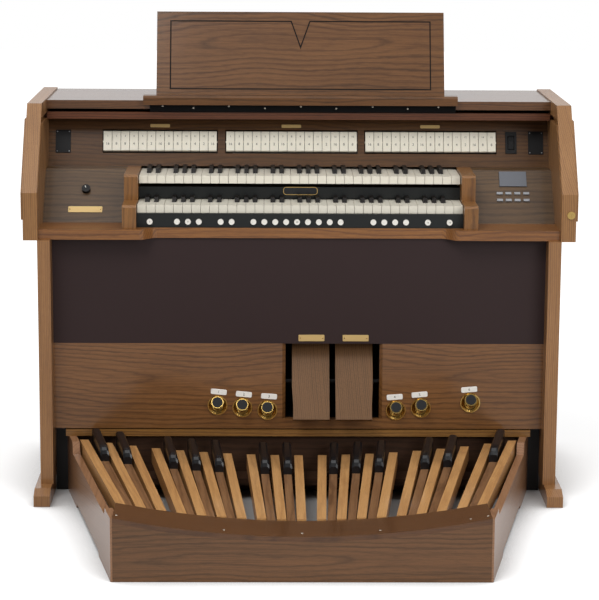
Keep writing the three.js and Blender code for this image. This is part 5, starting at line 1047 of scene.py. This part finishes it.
# %% Camera
CAMERA_PLACE = Vector((-0.0826, -5.6653, 1.6231))
LENS, SENSOR = 135, 36
TURN, LOOK_DOWN, ROLL = math.radians(-0.83), math.radians(10.8), math.radians(0.326)
NEAREST, FARTHEST = 0.1, 60
camera = bpy.data.objects.new("camera", bpy.data.cameras.new("camera"))
bpy.context.scene.collection.objects.link(camera)
camera.data.sensor_width = SENSOR
camera.data.lens = LENS
camera.data.clip_start = NEAREST
camera.data.clip_end = FARTHEST
level = Matrix.Rotation(TURN, 4, "Z") @ Matrix.Rotation(math.radians(90) - LOOK_DOWN, 4, "X")
camera.matrix_world = Matrix.Translation(CAMERA_PLACE) @ level @ Matrix.Rotation(ROLL, 4, "Z")
bpy.context.scene.camera = camera
bpy.context.scene.view_settings.view_transform = "Standard"
print("camera", round(CAMERA_PLACE.length, 2), "metres from the middle of the floor")

# %% [markdown]
# ## White paper floor
# The organ stands on a sweep of paper that looks white to the lens and still keeps its shadow. More
# light would make the paper white, but would bleach the wood as well. So the paper is pale grey and
# glows, but only for rays from the lens and, at half strength, for reflections. Farther away it glows
# fully, which hides the horizon. Paper that the organ covers, between the pedals and under the
# console, must stay dark: Ambient Occlusion measures how open the sky is above each point.

# %% White paper floor
PAPER = "c4c4c4"
GLOW_NEAR, GLOW_FAR = 0.7, 1.0
NEAR, FAR = 1.1, 2.6  # metres from the middle, between which the glow rises
COVER_REACH = 0.35  # what hangs lower than this over the paper takes its glow away
COVERED, OPEN = 0.3, 0.8
MIRROR_SHARE = 0.5
SHEET_SIZE, BELOW_FEET = 30, 0.5 * MM


def onlookers(tree):
    """1 for rays from the lens, and 1 for rays that are reflected or refracted."""
    rays = add(tree, "LightPath").node.outputs
    mirrored = {0: rays["Is Glossy Ray"], 1: rays["Is Transmission Ray"]}
    return rays["Is Camera Ray"], add(tree, "Math", mirrored, operation="MAXIMUM")


paper, tree, shader = material("floor, white paper sweep")
tree.nodes.remove(shader)
seen, mirrored = onlookers(tree)
where = add(tree, "TexCoord", out="Object")
away = add(tree, "VectorMath", {0: where}, "Value", operation="LENGTH")
rise = {"From Min": NEAR, "From Max": FAR, "To Min": GLOW_NEAR, "To Max": GLOW_FAR}
far = add(tree, "MapRange", {"Value": away, **rise}, interpolation_type="SMOOTHSTEP")
sky = add(tree, "AmbientOcclusion", {"Distance": COVER_REACH}, "AO", samples=8)
between = {"Value": sky, "From Min": COVERED, "From Max": OPEN}
uncovered = add(tree, "MapRange", between, interpolation_type="SMOOTHSTEP")
glow = add(tree, "Math", {0: far, 1: uncovered}, operation="MULTIPLY")
half = add(tree, "Math", {0: mirrored, 1: MIRROR_SHARE}, operation="MULTIPLY")
looked_at = add(tree, "Math", {0: seen, 1: half}, operation="MAXIMUM")
shown = add(tree, "Math", {0: glow, 1: looked_at}, operation="MULTIPLY")
sheet = add(tree, "BsdfDiffuse", {"Color": linear(PAPER)})
shine = add(tree, "Emission", {"Color": linear("ffffff"), "Strength": shown})
both = add(tree, "AddShader", {0: sheet, 1: shine})
wire(tree, tree.nodes["Material Output"], {"Surface": both})

bpy.ops.mesh.primitive_plane_add(size=SHEET_SIZE, location=(0, 0, -BELOW_FEET))
floor = bpy.context.object
floor.name = "floor"
floor.data.materials.append(paper)
print("paper", PAPER, "glows from", GLOW_NEAR, "to", GLOW_FAR)

# %% [markdown]
# ## The room
# The world is a white room. To the lens it is plain white. To the surfaces it gives a weak, even
# light. In reflections its front is dark and its back bright: lacquer that mirrors a white room on
# every side looks milky, while a dark front keeps the wood deep and lets the edges shine.

# %% The room
AMBIENT, TO_THE_LENS = 0.36, 1.0
DARK_FRONT, BRIGHT_BACK = 0.22, 1.1
FRONT_END, BACK_END = -0.2, 0.7  # of the direction's Y, where the front ends and the back begins
world = bpy.data.worlds.new("studio")
bpy.context.scene.world = world
world.use_nodes = True
tree = world.node_tree
seen, mirrored = onlookers(tree)
heading = add(tree, "TexCoord", out="Generated")
depth = add(tree, "SeparateXYZ", {"Vector": heading}, "Y")
walls = {"From Min": FRONT_END, "From Max": BACK_END, "To Min": DARK_FRONT, "To Max": BRIGHT_BACK}
room = add(tree, "MapRange", {"Value": depth, **walls}, interpolation_type="SMOOTHSTEP")
lit = add(tree, "MapRange", {"Value": mirrored, "To Min": AMBIENT, "To Max": room})
strength = add(tree, "MapRange", {"Value": seen, "To Min": lit, "To Max": TO_THE_LENS})
wire(tree, tree.nodes["Background"], {"Strength": strength, "Color": linear("ffffff")})
print("the room lights the organ with", AMBIENT)

# %% [markdown]
# ## Three soft lights
# A large soft light hangs over the keyboards, so that tops are bright and the space under the key
# table falls into shade. A key light from the upper left models the front, and a weaker fill from
# the right keeps the shadows open. Area lights have soft edges, as a studio's softboxes do.

# %% Three soft lights
# place, target, width and height in metres, and watts
LIGHTS = {
    "overhead light": ((0, -0.55, 3.2), (0, -0.5, 0), (3.0, 2.0), 27),
    "key light": ((-1.4, -2.6, 4.2), (0, 0, 0.6), (2.2, 1.6), 82),
    "fill light": ((2.4, -3.8, 2.4), (0, 0, 0.5), (2.0, 2.0), 70),
}
for name, (place, target, size, watts) in LIGHTS.items():
    lamp = bpy.data.lights.new(name, "AREA")
    lamp.shape = "RECTANGLE"
    lamp.size, lamp.size_y = size
    lamp.energy = watts
    softbox = bpy.data.objects.new(name, lamp)
    bpy.context.scene.collection.objects.link(softbox)
    softbox.location = place
    softbox.rotation_mode = "QUATERNION"
    softbox.rotation_quaternion = (Vector(target) - Vector(place)).to_track_quat("-Z", "Y")
    print(name, watts, "watts")
